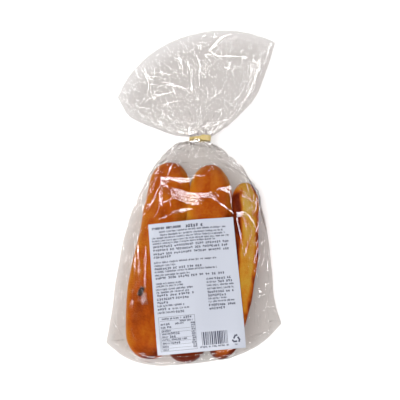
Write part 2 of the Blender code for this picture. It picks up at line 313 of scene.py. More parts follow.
# Print on the label, as rows of small marks without words: the kind, then for each row its start and end
# across and its place along, from the label's middle
PRINT_ROWS = (
    ("caps", (-37.0, -7.4, 55.4)), ("bold", (-5.5, 10.5, 55.0)),
    ("fine", (-30.4, 32.7, 51.8), (-29.7, 29.6, 48.8), (-37.5, 31.8, 46.1), (-37.5, 35.3, 43.4),
     (-37.2, 21.5, 40.9)),
    ("dense", (-37.1, 34.5, 37.8), (-37.3, 33.5, 34.5), (-37.4, 35.0, 30.9), (-37.2, -20.3, 27.9)),
    ("fine", (-37.2, 20.4, 23.0), (-37.1, -16.9, 20.1)), ("dense", (-37.0, 6.8, 17.0)),
    ("fine", (-37.2, 20.6, 14.3), (-37.1, -4.5, 11.2)), ("dense", (-36.7, 27.8, 8.5)),
    ("fine", (-36.7, -12.9, 3.4), (-36.9, -11.9, 1.0), (-37.2, -3.2, -2.0), (-37.0, -7.1, -4.7)),
    ("dense", (-36.6, -3.1, -7.4), (-36.9, -7.3, -10.8), (-36.8, -27.3, -14.0)),
    ("fine", (-37.0, -12.7, -16.9)), ("dense", (-36.9, -24.6, -19.8)),
    ("fine", (-23.4, -8.4, -20.0), (-37.1, -20.9, -22.9)), ("dense", (-20.6, -12.6, -23.2)),
    ("fine", (9.7, 16.5, 4.0)), ("dense", (17.0, 32.0, 4.0)), ("fine", (9.7, 19.0, 1.0)),
    ("dense", (20.0, 34.2, 1.0)), ("fine", (9.7, 34.8, -2.0), (9.7, 34.5, -5.0)),
    ("dense", (9.5, 33.3, -8.1), (9.8, 26.8, -11.3)), ("fine", (9.8, 27.4, -14.1), (9.9, 33.9, -16.8)),
    ("dense", (9.9, 34.5, -20.0), (9.9, 25.0, -23.1)), ("fine", (-33.9, -15.6, -28.8)),
    ("dense", (-14.3, -7.3, -28.7)), ("fine", (-35.3, -31.0, -33.6)), ("dense", (-30.5, -27.5, -33.6)),
    ("fine", (-35.3, -30.0, -36.5)), ("dense", (-29.5, -25.9, -36.5)),
    ("fine", (-35.0, -25.6, -39.5), (-34.5, -27.0, -42.2)), ("dense", (-26.5, -18.8, -42.2)),
    ("fine", (-34.5, -29.0, -44.8)), ("dense", (-28.0, -22.0, -44.8)),
    ("fine", (-35.0, -12.0, -47.4), (-34.8, -26.5, -50.4)), ("dense", (-26.0, -19.2, -50.4)),
    ("fine", (-35.0, -27.9, -53.4), (-35.0, -29.4, -56.0), (-17.5, -5.5, -31.5), (-22.0, -13.0, -33.6),
     (30.4, 33.2, -56.6)))
PRINT_PITCH = {"fine": 1.12, "dense": 2.0, "caps": 1.75, "bold": 2.5}
PRINT_TALL = {"fine": 1.35, "dense": 2.0, "caps": 2.3, "bold": 2.8}
PRINT_STROKE = {"fine": 0.36, "dense": 0.44, "caps": 0.72, "bold": 0.70}
PRINT_LIFT = 0.09
PRINT_CUT = 1.6
TABLE_BOX = (-36.9, -3.9, -57.4, -26.9)
TABLE_INNER_LEFT = -35.9
TABLE_LINES = (-30.6, -38.2, -40.9, -46.1, -48.9, -52.0, -54.8)
TABLE_LINE_WIDTH = 0.24
FIGURE_COLUMN = (-8.2, -4.6)
STRIPES = (0.9, 24.3, -54.9, -43.4)
STRIPE_MODULE = 0.40
STRIPE_MODULES = (1, 4)
GAP_MODULES = (1, 3)
TICKS = (-1.2, 24.4, -56.4)
MARK_CENTRE = (31.8, -51.8)
MARK_RADIUS = 4.3
MARK_STROKE = 1.5
MARK_CORNERS = (90.0, 210.0, 330.0)
TABLE_COLUMN_ENDS = (1.4, -40.9)
TABLE_LINE_START = 0.4
TABLE_LINE_GAP = 0.5
TABLE_THIN = 0.8
FIGURES_TOP = -34.0
FIGURES_BOTTOM_GAP = 1.5
FIGURES_PITCH = 1.9
FIGURES_START = 1.2
FIGURES_END = 0.6
MARK_BARS = ((1, 0.10, 0.60), (2, 0.05, 0.26))
PRINT_SEED = 41
GLYPH_WIDTH = 0.82
GLYPH_TOPS = (1.0, 1.0, 1.35)
GLYPH_ENDS = (0.0, 0.0, 0.0, -0.35)
SECOND_STEM_SHARE = 0.7
BAR_LEVEL = 0.45
BAR_THIN = 0.8
DENSE_LEVELS = (0.0, 0.25, 0.5, 0.75, 0.9)
DENSE_STEMS = (0.0, 0.35, 0.7, 1.0)
DENSE_THIN = 0.85
DENSE_BAR_LEFT = (0.0, 0.25)
DENSE_BAR_RIGHT = (0.0, 0.2)
DENSE_STEM_LOW = (0.0, 0.3)
DENSE_STEM_TOP = (0.75, 1.0)
FIRST_WORD_MARKS = (3, 10)
WORD_MARKS = (2, 10)
WORD_GAP = 0.8
PITCH_UNEVEN = (0.9, 1.1)

# Folds of the film seen in the photograph: how wide the fold's bundle of ridges is, then places along it
FOLDS = (
    (0.8, (-32.7, 17.7), (-30.1, 24.5), (-26.6, 32.8)),
    (0.8, (-35.5, 14.0), (-40.9, 2.8), (-47.1, -9.2), (-54.4, -19.1)),
    (1.1, (-36.4, 12.1), (-37.1, 2.5), (-37.5, -5.1), (-37.8, -12.7)),
    (0.9, (-24.2, -1.6), (-30.6, -5.3), (-36.9, -9.9), (-40.0, -17.3), (-42.2, -21.9)),
    (0.6, (-30.6, -5.3), (-27.8, -8.1), (-28.7, -12.8)),
    (0.7, (-26.8, -18.4), (-33.1, -21.1), (-39.4, -23.8)),
    (0.6, (-12.5, 19.4), (-3.3, 18.8), (5.9, 18.3)),
    (0.6, (9.5, 3.7), (11.3, -0.9), (15.8, -2.7)),
    (0.7, (1.3, -4.1), (10.4, -2.9), (18.5, -8.2), (24.9, -12.8), (32.1, -17.8)),
    (0.6, (28.8, 9.0), (28.7, 0.4), (29.9, -9.0), (32.1, -16.4)),
    (0.6, (-0.5, -5.9), (1.3, -9.6), (4.4, -11.9)),
    (0.9, (35.2, -20.0), (36.4, -31.1), (39.0, -43.8), (40.6, -57.4)),
    (0.8, (40.6, -57.4), (44.4, -46.3), (48.4, -35.9)),
    (1.3, (48.4, -35.9), (44.7, -30.6), (43.0, -25.2), (39.4, -20.7)),
    (0.7, (43.2, -15.8), (48.7, -22.8), (55.1, -33.3)),
    (0.6, (-61.5, -42.1), (-60.8, -62.7), (-60.1, -85.4)),
    (0.8, (-58.9, -37.1), (-57.8, -55.3), (-55.2, -86.8)),
    (0.7, (-50.2, -48.1), (-51.0, -68.3), (-49.5, -88.8)),
    (0.6, (-62.3, -87.8), (-62.2, -97.6), (-62.4, -106.2)),
    (1.6, (-56.5, -88.0), (-54.4, -94.2), (-51.8, -99.1), (-49.8, -105.8)),
    (0.9, (-84.0, -133.0), (-76.0, -134.5), (-68.0, -134.0)),
    (0.7, (-66.0, -144.0), (-58.0, -149.0), (-48.0, -151.5)),
    (1.0, (44.0, -131.0), (52.0, -130.0), (60.0, -126.5)),
    (0.8, (62.0, -118.0), (68.0, -117.0), (74.0, -116.5)),
    (0.7, (-80.0, -118.0), (-76.5, -124.0), (-71.0, -129.0)),
    (0.6, (-63.8, -123.0), (-60.5, -130.3), (-57.3, -137.4)),
    (0.7, (-55.5, -144.4), (-51.9, -146.8), (-48.2, -147.0)),
    (0.9, (51.6, -81.7), (50.7, -98.3), (50.6, -123.6)),
    (1.6, (42.8, -128.1), (47.5, -132.5), (53.3, -138.5)),
    (0.9, (68.6, -101.0), (71.6, -107.3), (76.4, -115.4)),
    (0.6, (63.6, -61.8), (64.3, -70.4), (65.1, -78.8)),
    (0.6, (54.9, -85.2), (54.6, -96.3)),
    (0.5, (-51.6, 12.8), (-58.4, 0.8), (-64.7, -10.1)),
    (0.5, (-86.1, -135.7), (-77.6, -127.8), (-69.8, -120.5)),
    (1.2, (-60.7, 142.1), (-56.3, 134.0), (-53.0, 126.8), (-50.7, 115.5)),
    (1.0, (-50.7, 115.5), (-47.5, 106.5), (-40.2, 95.5)),
    (0.9, (-40.2, 95.5), (-31.1, 98.2), (-22.1, 101.3)),
    (0.9, (-43.6, 116.1), (-34.4, 118.9), (-22.2, 116.6), (-12.1, 113.4)),
    (0.7, (-47.6, 113.0), (-41.4, 107.2), (-28.2, 109.8)),
    (0.8, (5.1, 153.2), (14.4, 152.6), (24.7, 151.3), (37.1, 151.4), (49.6, 151.4)),
    (0.7, (8.2, 154.4), (14.5, 162.9), (21.8, 172.5), (33.4, 178.7)),
    (1.9, (51.9, 144.7), (56.0, 138.3), (57.9, 130.7)),
    (0.8, (53.7, 150.6), (60.9, 142.2), (62.8, 129.2)),
    (1.2, (-16.4, 148.5), (-12.7, 142.5), (-8.2, 136.1)),
    (0.8, (-22.6, 151.0), (-19.5, 145.0), (-18.0, 137.9)),
    (0.8, (0.0, 116.1), (-2.0, 103.7), (-2.4, 89.5)),
    (1.0, (7.1, 118.4), (8.1, 108.0), (7.7, 99.9), (6.0, 89.7)),
    (0.7, (16.2, 116.5), (14.5, 106.1), (12.1, 96.0)),
    (0.7, (-10.1, 125.0), (-8.1, 116.0), (-8.5, 105.6)),
    (0.8, (-68.8, 144.9), (-63.4, 127.7), (-58.9, 111.7)),
    (0.7, (-60.7, 156.5), (-54.6, 163.3), (-44.2, 170.2)),
    (0.7, (40.8, 129.0), (44.8, 122.7), (53.2, 125.7)),
    (0.8, (66.6, 163.0), (60.9, 142.2), (50.9, 112.6)),
    (0.7, (74.3, 170.4), (70.9, 161.1), (68.5, 149.7)),
    (0.7, (-68.9, 89.7), (-56.5, 82.9), (-40.3, 74.4), (-22.1, 67.5)),
    (0.7, (24.5, 138.3), (30.7, 136.3), (34.7, 129.7)),
    (0.8, (0.0, 143.6), (1.0, 135.4), (-1.0, 129.5)),
    (0.6, (-38.1, 89.3), (-28.1, 81.3), (-20.1, 75.4)))

# Ridges and gleams: their steps, seeds, slopes and unevenness
FOLD_SEED = 17
FOLD_STEP = 1.3
GLEAM_STEP = 1.4
GLEAM_FRAY = 0.35
GLEAM_UNEVEN = 0.03
GLEAM_SHARE = 0.9
GLEAM_SMOOTHINGS = 40
GLEAM_RAISED = 0.7
GLEAM_LEVEL = 0.8
GLEAM_SEED = 1
FOLD_PLAIN_SLOPE = 0.35
FOLD_LEAST_SLOPE = 0.12
FOLD_MOST_MISS = 0.3
FOLD_UNEVEN = 0.09
FOLD_BEND = 0.18
FOLD_SWELL = 0.25
BUNDLE_SPACING = 0.42
BUNDLE_TRIM = 0.45
BUNDLE_HALF = (0.26, 0.46)
FLARE_HALF_SHARE = 0.5
NOISE_SPACING = 3.5
FOLD_LIFT = 0.15
FOLD_SMOOTHINGS = 14
SIDE_BY_SIDE = 1.1
BUNDLE_SHIFT = 0.2
FOLD_END_SHARE = 0.12
FOLD_TAPER_POWER = 0.5
LEAST_STEPS = 4

# Broad gleams of the film over the rolls: far edge, near edge and number of shallow pleats of each
GLEAMS = (
    (((-37.3, 12.2), (-25.2, 6.9), (-9.6, 2.6), (8.6, 1.8), (14.0, 2.9), (18.0, -0.5)),
     ((-37.7, 7.4), (-27.4, -2.6), (-12.0, -9.1), (-1.4, -9.7), (8.0, -3.4), (16.8, -2.7)), 4),
    (((-36.4, 15.0), (-32.7, 17.2), (-25.4, 17.9), (-12.5, 17.0), (-5.1, 18.1)),
     ((-36.0, 14.0), (-30.9, 15.3), (-25.3, 13.6), (-14.0, 11.5), (-6.0, 14.0)), 2),
    (((15.9, 5.6), (24.2, 8.3), (29.3, 9.4)), ((15.9, 5.2), (23.2, 3.3), (29.3, -0.1)), 2),
    (((-27.2, -17.5), (-19.6, -14.2), (-12.3, -13.6), (-6.4, -14.1)),
     ((-27.2, -18.0), (-20.0, -18.0), (-12.3, -16.0), (-6.4, -14.5)), 1),
    (((34.4, -16.0), (38.5, -14.8), (43.0, -14.8)), ((34.8, -20.9), (39.3, -22.1), (43.3, -20.4)), 1),
    (((-37.8, 18.5), (-31.8, 18.0), (-28.8, 17.6)), ((-37.8, 11.0), (-33.8, 10.0), (-29.0, 12.8)), 2),
    (((-53.2, -93.0), (-51.0, -91.8), (-48.6, -93.0)),
     ((-54.0, -99.0), (-52.0, -101.5), (-50.2, -99.5)), 2))

# Two lines of creases along the bottom seam: start, end and number of places across, and how far up
SEAM_PLACES = (0.05, 0.95, 26)
SEAM_LEVELS = (0.014, 0.036)

# Small seeded creases in the flare, mostly along its radial lines and closer together near the neck
FLARE_CRINKLES = 1300
FLARE_CRINKLE_HALF = (0.04, 0.13)
FLARE_CRINKLE_START = 0.05
FLARE_CRINKLE_REACH = 0.88
FLARE_CRINKLE_CROWDING = 1.7
FLARE_CRINKLE_SPREAD = 0.46
FLARE_CRINKLE_LENGTHS = (2.5, 5.0, 15.0)
RADIAL_SHARE = 0.8
RADIAL_TURN = 0.3
CROSS_TURN = 1.5

# Small seeded creases of the body, at its left and right margins and on its shoulders
BODY_CRINKLE_HALF = (0.08, 0.25)
MARGIN_CRINKLES = 300
MARGIN_ACROSS = (0.02, 0.13)
MARGIN_ALONG = (0.01, 0.85)
MARGIN_LENGTHS = (3.0, 14.0)
MARGIN_TURN = 0.35
SHOULDER_CRINKLES = 260
SHOULDER_ACROSS = (0.05, 0.95)
SHOULDER_TOP = 0.97
SHOULDER_REACH = 0.25
SHOULDER_CROWDING = 1.4
SHOULDER_LENGTHS = (2.0, 9.0)
SHOULDER_TURN = 0.3
CRINKLE_BEND = 0.3
CRINKLE_PARTS = 3
AHEAD = 0.02

# The raisin that shows on the left roll
RAISIN_PLACE = (-54.2, -90.5)
RAISIN_HALF = (3.3, 5.4, 2.8)
RAISIN_LENGTHWISE = (0.25, 0.97, 0.0)
RAISIN_SUNK = 0.8
RAISIN_FURROW = 0.34
RAISIN_FURROW_CELLS = (2.6, 1.4, 2.6)
RAISIN_DENT = 0.22
RAISIN_DENT_CELLS = 1.4
RAISIN_CREASE = 0.12
RAISIN_CREASE_CELLS = 5.5
RAISIN_SHIFT = 9.0
RAISIN_SEED = 61
RAISIN_FINENESS = 5

# Places of the camera and the softboxes
ELEVATION = math.radians(CAMERA_ELEVATION)
TO_CAMERA = np.array([0.0, -math.cos(ELEVATION), math.sin(ELEVATION)])
CAMERA_PLACE = np.array(CAMERA_TARGET) + CAMERA_DISTANCE * TO_CAMERA
SOFTBOX_PLACES = [SOFTBOX_DISTANCE * np.array(direction) / np.linalg.norm(direction) - OFFSET
                  for _, direction, _, _, _ in SOFTBOXES]
SOFTBOX_SHARES = (-0.4, -0.2, 0.0, 0.2, 0.4)

# Lines straight down start high above everything
HIGH_ABOVE = 200.0
DOWN = Vector((0.0, 0.0, -1.0))


def places_on_softboxes():
    """A few places along the long side of each softbox."""
    places = []
    for (_, direction, width, _, _), middle in zip(SOFTBOXES, SOFTBOX_PLACES):
        side = np.array([-direction[1], direction[0], 0.0]) / math.hypot(direction[0], direction[1])
        places += [middle + share * width / MM * side for share in SOFTBOX_SHARES]
    return places


def lerp(a, b, t):
    return a + (b - a) * t


def smoothstep(t):
    t = np.clip(t, 0.0, 1.0)
    return t * t * (3.0 - 2.0 * t)


def fade(value, places):
    """Zero at the first of two places, one at the second."""
    return smoothstep((value - places[0]) / (places[1] - places[0]))


def quarter_round(t):
    t = np.clip(t, 0.0, 1.0)
    return (1.0 - (1.0 - t) ** END_ROUNDNESS) ** (1.0 / END_ROUNDNESS)


def soft_excess(value, softness):
    """The value where it is above zero, else nothing, with a soft change between."""
    return 0.5 * (value + np.sqrt(value * value + softness ** 2))


def catmull_rom(p0, p1, p2, p3, u):
    return 0.5 * (2 * p1 + (p2 - p0) * u + (2 * p0 - 5 * p1 + 4 * p2 - p3) * u ** 2
                  + (3 * p1 - p0 - 3 * p2 + p3) * u ** 3)


def along(points, t):
    """Places at the shares t of a smooth curve through points."""
    pts = np.array(points, float)
    steps = np.linalg.norm(np.diff(pts, axis=0), axis=1)
    ends = np.concatenate([[0.0], np.cumsum(steps)])
    target = np.asarray(t, float) * ends[-1]
    i = np.clip(np.searchsorted(ends, target, side="left") - 1, 0, len(pts) - 2)
    u = ((target - ends[i]) / steps[i])[..., None]
    padded = np.vstack([2 * pts[0] - pts[1], pts, 2 * pts[-1] - pts[-2]])
    return catmull_rom(padded[i], padded[i + 1], padded[i + 2], padded[i + 3], u)


def body_form(s, w, upper):
    """Points on the body's film: s runs from left to right, w from the bottom seam to the waist."""
    left = along(LEFT_OUTLINE, w)
    right = along(RIGHT_OUTLINE, w)
    r = np.abs(2.0 * s - 1.0)
    bulge = SEAM_BULGE * (1.0 - smoothstep(w / SEAM_BULGE_FADE)) * (1.0 - r ** SEAM_BULGE_POWER)
    x = lerp(left[..., 0], right[..., 0], s)
    y = lerp(left[..., 1], right[..., 1], s) - bulge
    end = quarter_round(w * math.dist(LEFT_OUTLINE[0], LEFT_OUTLINE[-1]) / BOTTOM_ROUND)
    shoulder = smoothstep((w - SHOULDER_START) / (1.0 - SHOULDER_START))
    seam = lerp(SEAM_HEIGHT, EAR_HEIGHT, r ** 2)
    side = lerp(EAR_HEIGHT, SIDE_HEIGHT, smoothstep(w / SIDE_RISE_SHARE))
    side = lerp(side, WAIST_CENTRE_HEIGHT, shoulder)
    edge = lerp(seam, side, quarter_round(w / SEAM_BLEND_SHARE))
    squareness = lerp(TOP_SQUARENESS, SHOULDER_SQUARENESS, shoulder)
    rise = np.sqrt(np.maximum(0.0, 1.0 - r ** squareness))
    if upper:
        crest = lerp(BODY_HEIGHT, WAIST_CENTRE_HEIGHT + WAIST_HALF_HEIGHT, shoulder)
        sag = 0.5 * ROLL_SAG * (1.0 - np.cos(2.0 * math.pi * ROLL_COUNT * (s - 0.5)))
        far = crest - sag * rise * end * (1.0 - shoulder)
    else:
        lift = smoothstep((w - LIFT_START) / (1.0 - LIFT_START))
        far = lerp(0.0, WAIST_CENTRE_HEIGHT - WAIST_HALF_HEIGHT, lift)
        rise = np.minimum(1.0, UNDERSIDE_FULLNESS * rise)
    return np.stack([x, y, lerp(edge, far, rise * end)], axis=-1)


def waist_form(s, y, upper):
    r = 2.0 * s - 1.0
    rise = WAIST_HALF_HEIGHT * np.sqrt(np.maximum(0.0, 1.0 - r * r)) * (1.0 if upper else -1.0)
    return np.stack([WAIST_HALF_WIDTH * r, y + 0.0 * s, WAIST_CENTRE_HEIGHT + rise], axis=-1)


def about_pole(point):
    d = point - np.array(FAN_POLE)
    angle = np.arctan2(d[..., 1], d[..., 0])
    return angle, np.hypot(d[..., 0], d[..., 1])


def flare_form(s, t, upper):
    """Points on the flare's film: s runs from left to right, t from the waist to the mouth."""
    left_angle, left_radius = about_pole(along(LEFT_FLARE_SIDE, t))
    right_angle, right_radius = about_pole(along(RIGHT_FLARE_SIDE, t))
    r = 2.0 * s - 1.0
    angle = lerp(left_angle, right_angle, s)
    radius = lerp(left_radius, right_radius, s) - MOUTH_DIP * t * (1.0 - r * r)
    start = waist_form(s, WAIST_END, upper)
    spread = smoothstep(t / FAN_SPREAD_SHARE)
    x = lerp(start[..., 0], FAN_POLE[0] + radius * np.cos(angle), spread)
    y = lerp(start[..., 1], FAN_POLE[1] + radius * np.sin(angle), spread)
    half = lerp(WAIST_HALF_HEIGHT, FLARE_HALF_HEIGHT, smoothstep(t / FLARE_OPENING_SHARE))
    closing = smoothstep((t - FLARE_CLOSING_START) / (1.0 - FLARE_CLOSING_START))
    half = lerp(half, FLARE_MOUTH_HALF_HEIGHT, closing)
    centre = lerp(WAIST_CENTRE_HEIGHT, FLARE_CENTRE_HEIGHT, smoothstep(t))
    rise = half * np.sqrt(np.maximum(0.0, 1.0 - r * r)) * (1.0 if upper else -1.0)
    return np.stack([x, y, np.maximum(centre + rise, LOWEST)], axis=-1)


def new_object(name, verts, faces, material=None, smooth=True):
    """A mesh object from millimetre points in the drawing's coordinates."""
    mesh = bpy.data.meshes.new(name)
    places = (np.asarray(verts, float) + OFFSET) * MM
    mesh.from_pydata(places.tolist(), [], [tuple(int(i) for i in f) for f in faces])
    if smooth:
        mesh.shade_smooth()
    mesh.update()
    obj = bpy.data.objects.new(name, mesh)
    bpy.context.scene.collection.objects.link(obj)
    if material:
        mesh.materials.append(material)
    return obj


def hash_noise(points, seed):
    """Smooth 3D value noise from -1 to 1 at each point."""
    cell = np.floor(points).astype(np.int64)
    f = points - cell
    f = f * f * (3.0 - 2.0 * f)
    total = np.zeros(len(points))
    for corner in range(8):
        c = np.array([corner & 1, (corner >> 1) & 1, (corner >> 2) & 1])
        k = cell + c
        h = (k[:, 0] * 73856093) ^ (k[:, 1] * 19349663) ^ (k[:, 2] * 83492791) ^ (seed * 2654435761)
        h = (h ^ (h >> 13)) * 1274126177
        h = (h ^ (h >> 16)) & 0xFFFFFF
        value = h / float(0xFFFFFF) * 2.0 - 1.0
        weight = np.prod(np.where(c == 1, f, 1.0 - f), axis=1)
        total += value * weight
    return total


def sheet_faces(rows, columns, closed=True):
    """Quads of a sheet of points in rows, each of them a closed ring or an open line."""
    i, j = np.meshgrid(np.arange(rows - 1), np.arange(columns if closed else columns - 1), indexing="ij")
    a = i * columns + j
    b = i * columns + (j + 1) % columns
    return np.stack([a, b, b + columns, a + columns], axis=-1).reshape(-1, 4)


def film_grid():
    """The film as closed rings from the bottom seam to the mouth: stations by steps around by 3."""
    steps = np.arange(ACROSS + 1)
    s_up = 0.5 * steps / ACROSS + 0.25 * (1.0 - np.cos(math.pi * steps / ACROSS))
    s_down = s_up[-2:0:-1]
    rings = []
    for i in range(BODY_STATIONS):
        even = i / BODY_STATIONS
        w = even - SEAM_CROWDING * math.sin(2.0 * math.pi * even) / (2.0 * math.pi)
        rings.append(np.vstack([body_form(s_up, np.full_like(s_up, w), True),
                                body_form(s_down, np.full_like(s_down, w), False)]))
    for i in range(WAIST_STATIONS):
        y = lerp(WAIST_START, WAIST_END, i / (WAIST_STATIONS - 1))
        rings.append(np.vstack([waist_form(s_up, y, True), waist_form(s_down, y, False)]))
    for i in range(1, FLARE_STATIONS + 1):
        t = (i / FLARE_STATIONS) ** FLARE_CROWDING
        rings.append(np.vstack([flare_form(s_up, np.full_like(s_up, t), True),
                                flare_form(s_down, np.full_like(s_down, t), False)]))
    return np.array(rings)


FORM = film_grid()
FORM_TREE = BVHTree.FromPolygons(FORM.reshape(-1, 3).tolist(), sheet_faces(*FORM.shape[:2]).tolist())


def straight_below(tree, x, y, start=HIGH_ABOVE):
    """Where a line straight down meets a surface, and the surface's normal there."""
    return tree.ray_cast(Vector((x, y, start)), DOWN)[:2]


def film_top_height(points):
    """Height of the film's plain form above each point, or the seam's height beside it."""
    heights = np.full(len(points), SEAM_HEIGHT)
    for i, (x, y, _) in enumerate(points):
        hit = straight_below(FORM_TREE, x, y)[0]
        if hit:
            heights[i] = hit.z
    return heights


def in_bag(obj):
    """Hangs a piece that stands for a part of the bag's solid on the root, and hides the solid."""
    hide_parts("bag")
    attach(obj, "root")


# Materials

def new_material(name):
    material = bpy.data.materials.new(name)
    material.use_nodes = True
    nodes = material.node_tree.nodes
    nodes.clear()
    return material, nodes, material.node_tree.links


def add_node(nodes, kind, values=None):
    """A shader node with some of its inputs set, by their names or numbers."""
    node = nodes.new("ShaderNode" + kind)
    for name, value in (values or {}).items():
        node.inputs[name].default_value = value
    return node


def add_math(nodes, operation, values=None):
    node = add_node(nodes, "Math", values)
    node.operation = operation
    return node


def film_material(name, tint, roughness, ior):
    """Clear film: it lets tinted light through and mirrors more of it at a flat angle, up to a limit."""
    material, nodes, links = new_material(name)
    out = add_node(nodes, "OutputMaterial")
    mix = add_node(nodes, "MixShader")
    clear = add_node(nodes, "BsdfTransparent", {"Color": (*tint, 1.0)})
    gloss = add_node(nodes, "BsdfGlossy", {"Roughness": roughness, "Color": (1.0, 1.0, 1.0, 1.0)})
    fresnel = add_node(nodes, "Fresnel", {"IOR": ior})
    limit = add_math(nodes, "MINIMUM", {1: FILM_MOST_GLOSS})
    links.new(fresnel.outputs[0], limit.inputs[0])
    links.new(limit.outputs[0], mix.inputs[0])
    links.new(clear.outputs[0], mix.inputs[1])
    links.new(gloss.outputs[0], mix.inputs[2])
    links.new(mix.outputs[0], out.inputs["Surface"])
    return material


def plain_material(name, colour, roughness):
    material = bpy.data.materials.new(name)
    material.use_nodes = True
    shader = material.node_tree.nodes["Principled BSDF"]
    shader.inputs["Base Color"].default_value = (*colour, 1.0)
    shader.inputs["Roughness"].default_value = roughness
    return material


def crust_material(name):
    """Baked crust: the point values give how dark it is baked, with painted shade on a flank in the shade
    beside the next roll; mottles, pores and fine wrinkles come on top.
    """
    material, nodes, links = new_material(name)
    out = add_node(nodes, "OutputMaterial")
    shader = add_node(nodes, "BsdfPrincipled", {"Roughness": CRUST_ROUGHNESS,
                                                "Specular IOR Level": CRUST_GLOSS})
    place = add_node(nodes, "TexCoord")
    value = add_node(nodes, "Attribute")
    value.attribute_name = "bake_and_shade"
    total = value.outputs["Fac"]
    for scale, detail, share in CRUST_NOISES:
        noise = add_node(nodes, "TexNoise", {"Scale": scale, "Detail": detail})
        scaled = add_math(nodes, "MULTIPLY_ADD", {1: share, 2: -0.5 * share})
        added = add_math(nodes, "ADD")
        links.new(place.outputs["Object"], noise.inputs["Vector"])
        links.new(noise.outputs["Fac"], scaled.inputs[0])
        links.new(total, added.inputs[0])
        links.new(scaled.outputs[0], added.inputs[1])
        total = added.outputs[0]
    ramp = add_node(nodes, "ValToRGB")
    stops = ramp.color_ramp.elements
    stops[0].position = 0.0
    stops[0].color = (*CRUST_PALE, 1.0)
    stops[1].position = 1.0
    stops[1].color = (*CRUST_DARK, 1.0)
    for position, colour in CRUST_STOPS:
        stops.new(position).color = (*colour, 1.0)
    bump = add_node(nodes, "Bump", {"Strength": GRAIN_STRENGTH, "Distance": GRAIN_DEPTH})
    grain = add_node(nodes, "TexNoise", {"Scale": GRAIN_SCALE, "Detail": GRAIN_DETAIL})
    links.new(place.outputs["Object"], grain.inputs["Vector"])
    links.new(grain.outputs["Fac"], bump.inputs["Height"])
    links.new(bump.outputs["Normal"], shader.inputs["Normal"])
    links.new(total, ramp.inputs[0])
    links.new(ramp.outputs[0], shader.inputs["Base Color"])
    links.new(shader.outputs[0], out.inputs["Surface"])
    return material


# Pieces

def roll_section(phi, side_lying):
    """Half-size outline across a roll: a dome over a flatter base, or the same lying on its side."""
    c = np.cos(phi)
    sn = np.sin(phi)
    if side_lying:
        power = LYING_POWERS[0] + LYING_POWERS[1] * smoothstep(LYING_MIDDLE + LYING_CHANGE * c)
    else:
        power = np.where(sn > 0.0, DOME_POWER, BASE_POWER)
    radius = (np.abs(c) ** power + np.abs(sn) ** power) ** (-1.0 / power)
    return c * radius, sn * radius


def roll_rings(spec, stations, around):
    """Rings of points along a long roll with rounded ends, and where the points of a ring lie across."""
    even = np.arange(stations) / (stations - 1)
    t = lerp(0.5 - 0.5 * np.cos(math.pi * even), even, ROLL_EVEN_SHARE)
    places = np.array(spec["places"])
    line = along(places[:, :2], t)
    steps = np.concatenate([[0.0], np.cumsum(np.linalg.norm(np.diff(places[:, :2], axis=0), axis=1))])
    half_width = np.interp(t, steps / steps[-1], places[:, 2])
    tangent = np.gradient(line, axis=0)
    tangent /= np.linalg.norm(tangent, axis=1)[:, None]
    reach = np.minimum(t, 1.0 - t) * steps[-1]
    cap = quarter_round(reach / np.where(t < 0.5, spec["bottom_round"], spec["top_round"]))
    across, up = roll_section(2.0 * math.pi * np.arange(around) / around, spec["side_lying"])
    half_height = 0.5 * spec["height"]
    rings = []
    for i in range(1, stations - 1):
        side = np.array([tangent[i, 1], -tangent[i, 0]])
        half = half_width[i] * cap[i]
        high = half_height * cap[i]
        x = line[i, 0] + side[0] * across * half
        y = line[i, 1] + side[1] * across * half
        z = ROLL_BASE + half_height + up * high - (half_height - high) * ROLL_END_DROP
        rings.append(np.stack([x, y, z], axis=-1))
    return np.array(rings), across


def roll_bumps(points, seed):
    """Swells and fine wrinkles of the crust, as heights along its normals."""
    swells = np.zeros(len(points))
    for number, (cell, height) in enumerate(ROLL_SWELLS):
        swells += height * hash_noise(points / cell + seed, seed + number)
    wrinkles = ROLL_WRINKLE * np.abs(hash_noise(points / ROLL_WRINKLE_CELL + seed, seed + 2))
    return swells - wrinkles - ROLL_SHRINK


def roll_points(spec, stations, around):
    """A long roll on its base: points, faces, directions outward, and where each point lies across."""
    rings, across = roll_rings(spec, stations, around)
    rows = len(rings)
    flat = np.vstack([rings.reshape(-1, 3), rings[0].mean(0), rings[-1].mean(0)])
    faces = [tuple(f[::-1]) for f in sheet_faces(rows, around)]
    first = rows * around
    last = first + 1
    top_ring = (rows - 1) * around
    faces += [(j, (j + 1) % around, first) for j in range(around)]
    faces += [(top_ring + (j + 1) % around, top_ring + j, last) for j in range(around)]
    outward = point_normals(flat, faces)
    flat = flat + outward * roll_bumps(flat, spec["seed"])[:, None]
    over = flat[:, 2] - (film_top_height(flat) - ROLL_CLEARANCE)
    flat[:, 2] = flat[:, 2] - soft_excess(over, ROLL_PRESS)
    flat[:, 2] = flat[:, 2] + soft_excess(ROLL_BASE - flat[:, 2], ROLL_FOOT)
    return flat, faces, outward, np.concatenate([np.tile(across, rows), [0.0, 0.0]])


def point_normals(points, faces):
    """Unit normals at the points of a mesh of quads and triangles."""
    quads = np.array([f if len(f) == 4 else (f[0], f[1], f[2], f[2]) for f in faces])
    p = points[quads]
    n = np.cross(p[:, 2] - p[:, 0], p[:, 3] - p[:, 1])
    total = np.zeros_like(points)
    for k in range(4):
        np.add.at(total, quads[:, k], n)
    return total / np.maximum(np.linalg.norm(total, axis=1), 1e-9)[:, None]


def add_bake_and_shade(obj, values):
    layer = obj.data.attributes.new("bake_and_shade", "FLOAT", "POINT")
    layer.data.foreach_set("value", np.asarray(values, np.float32))


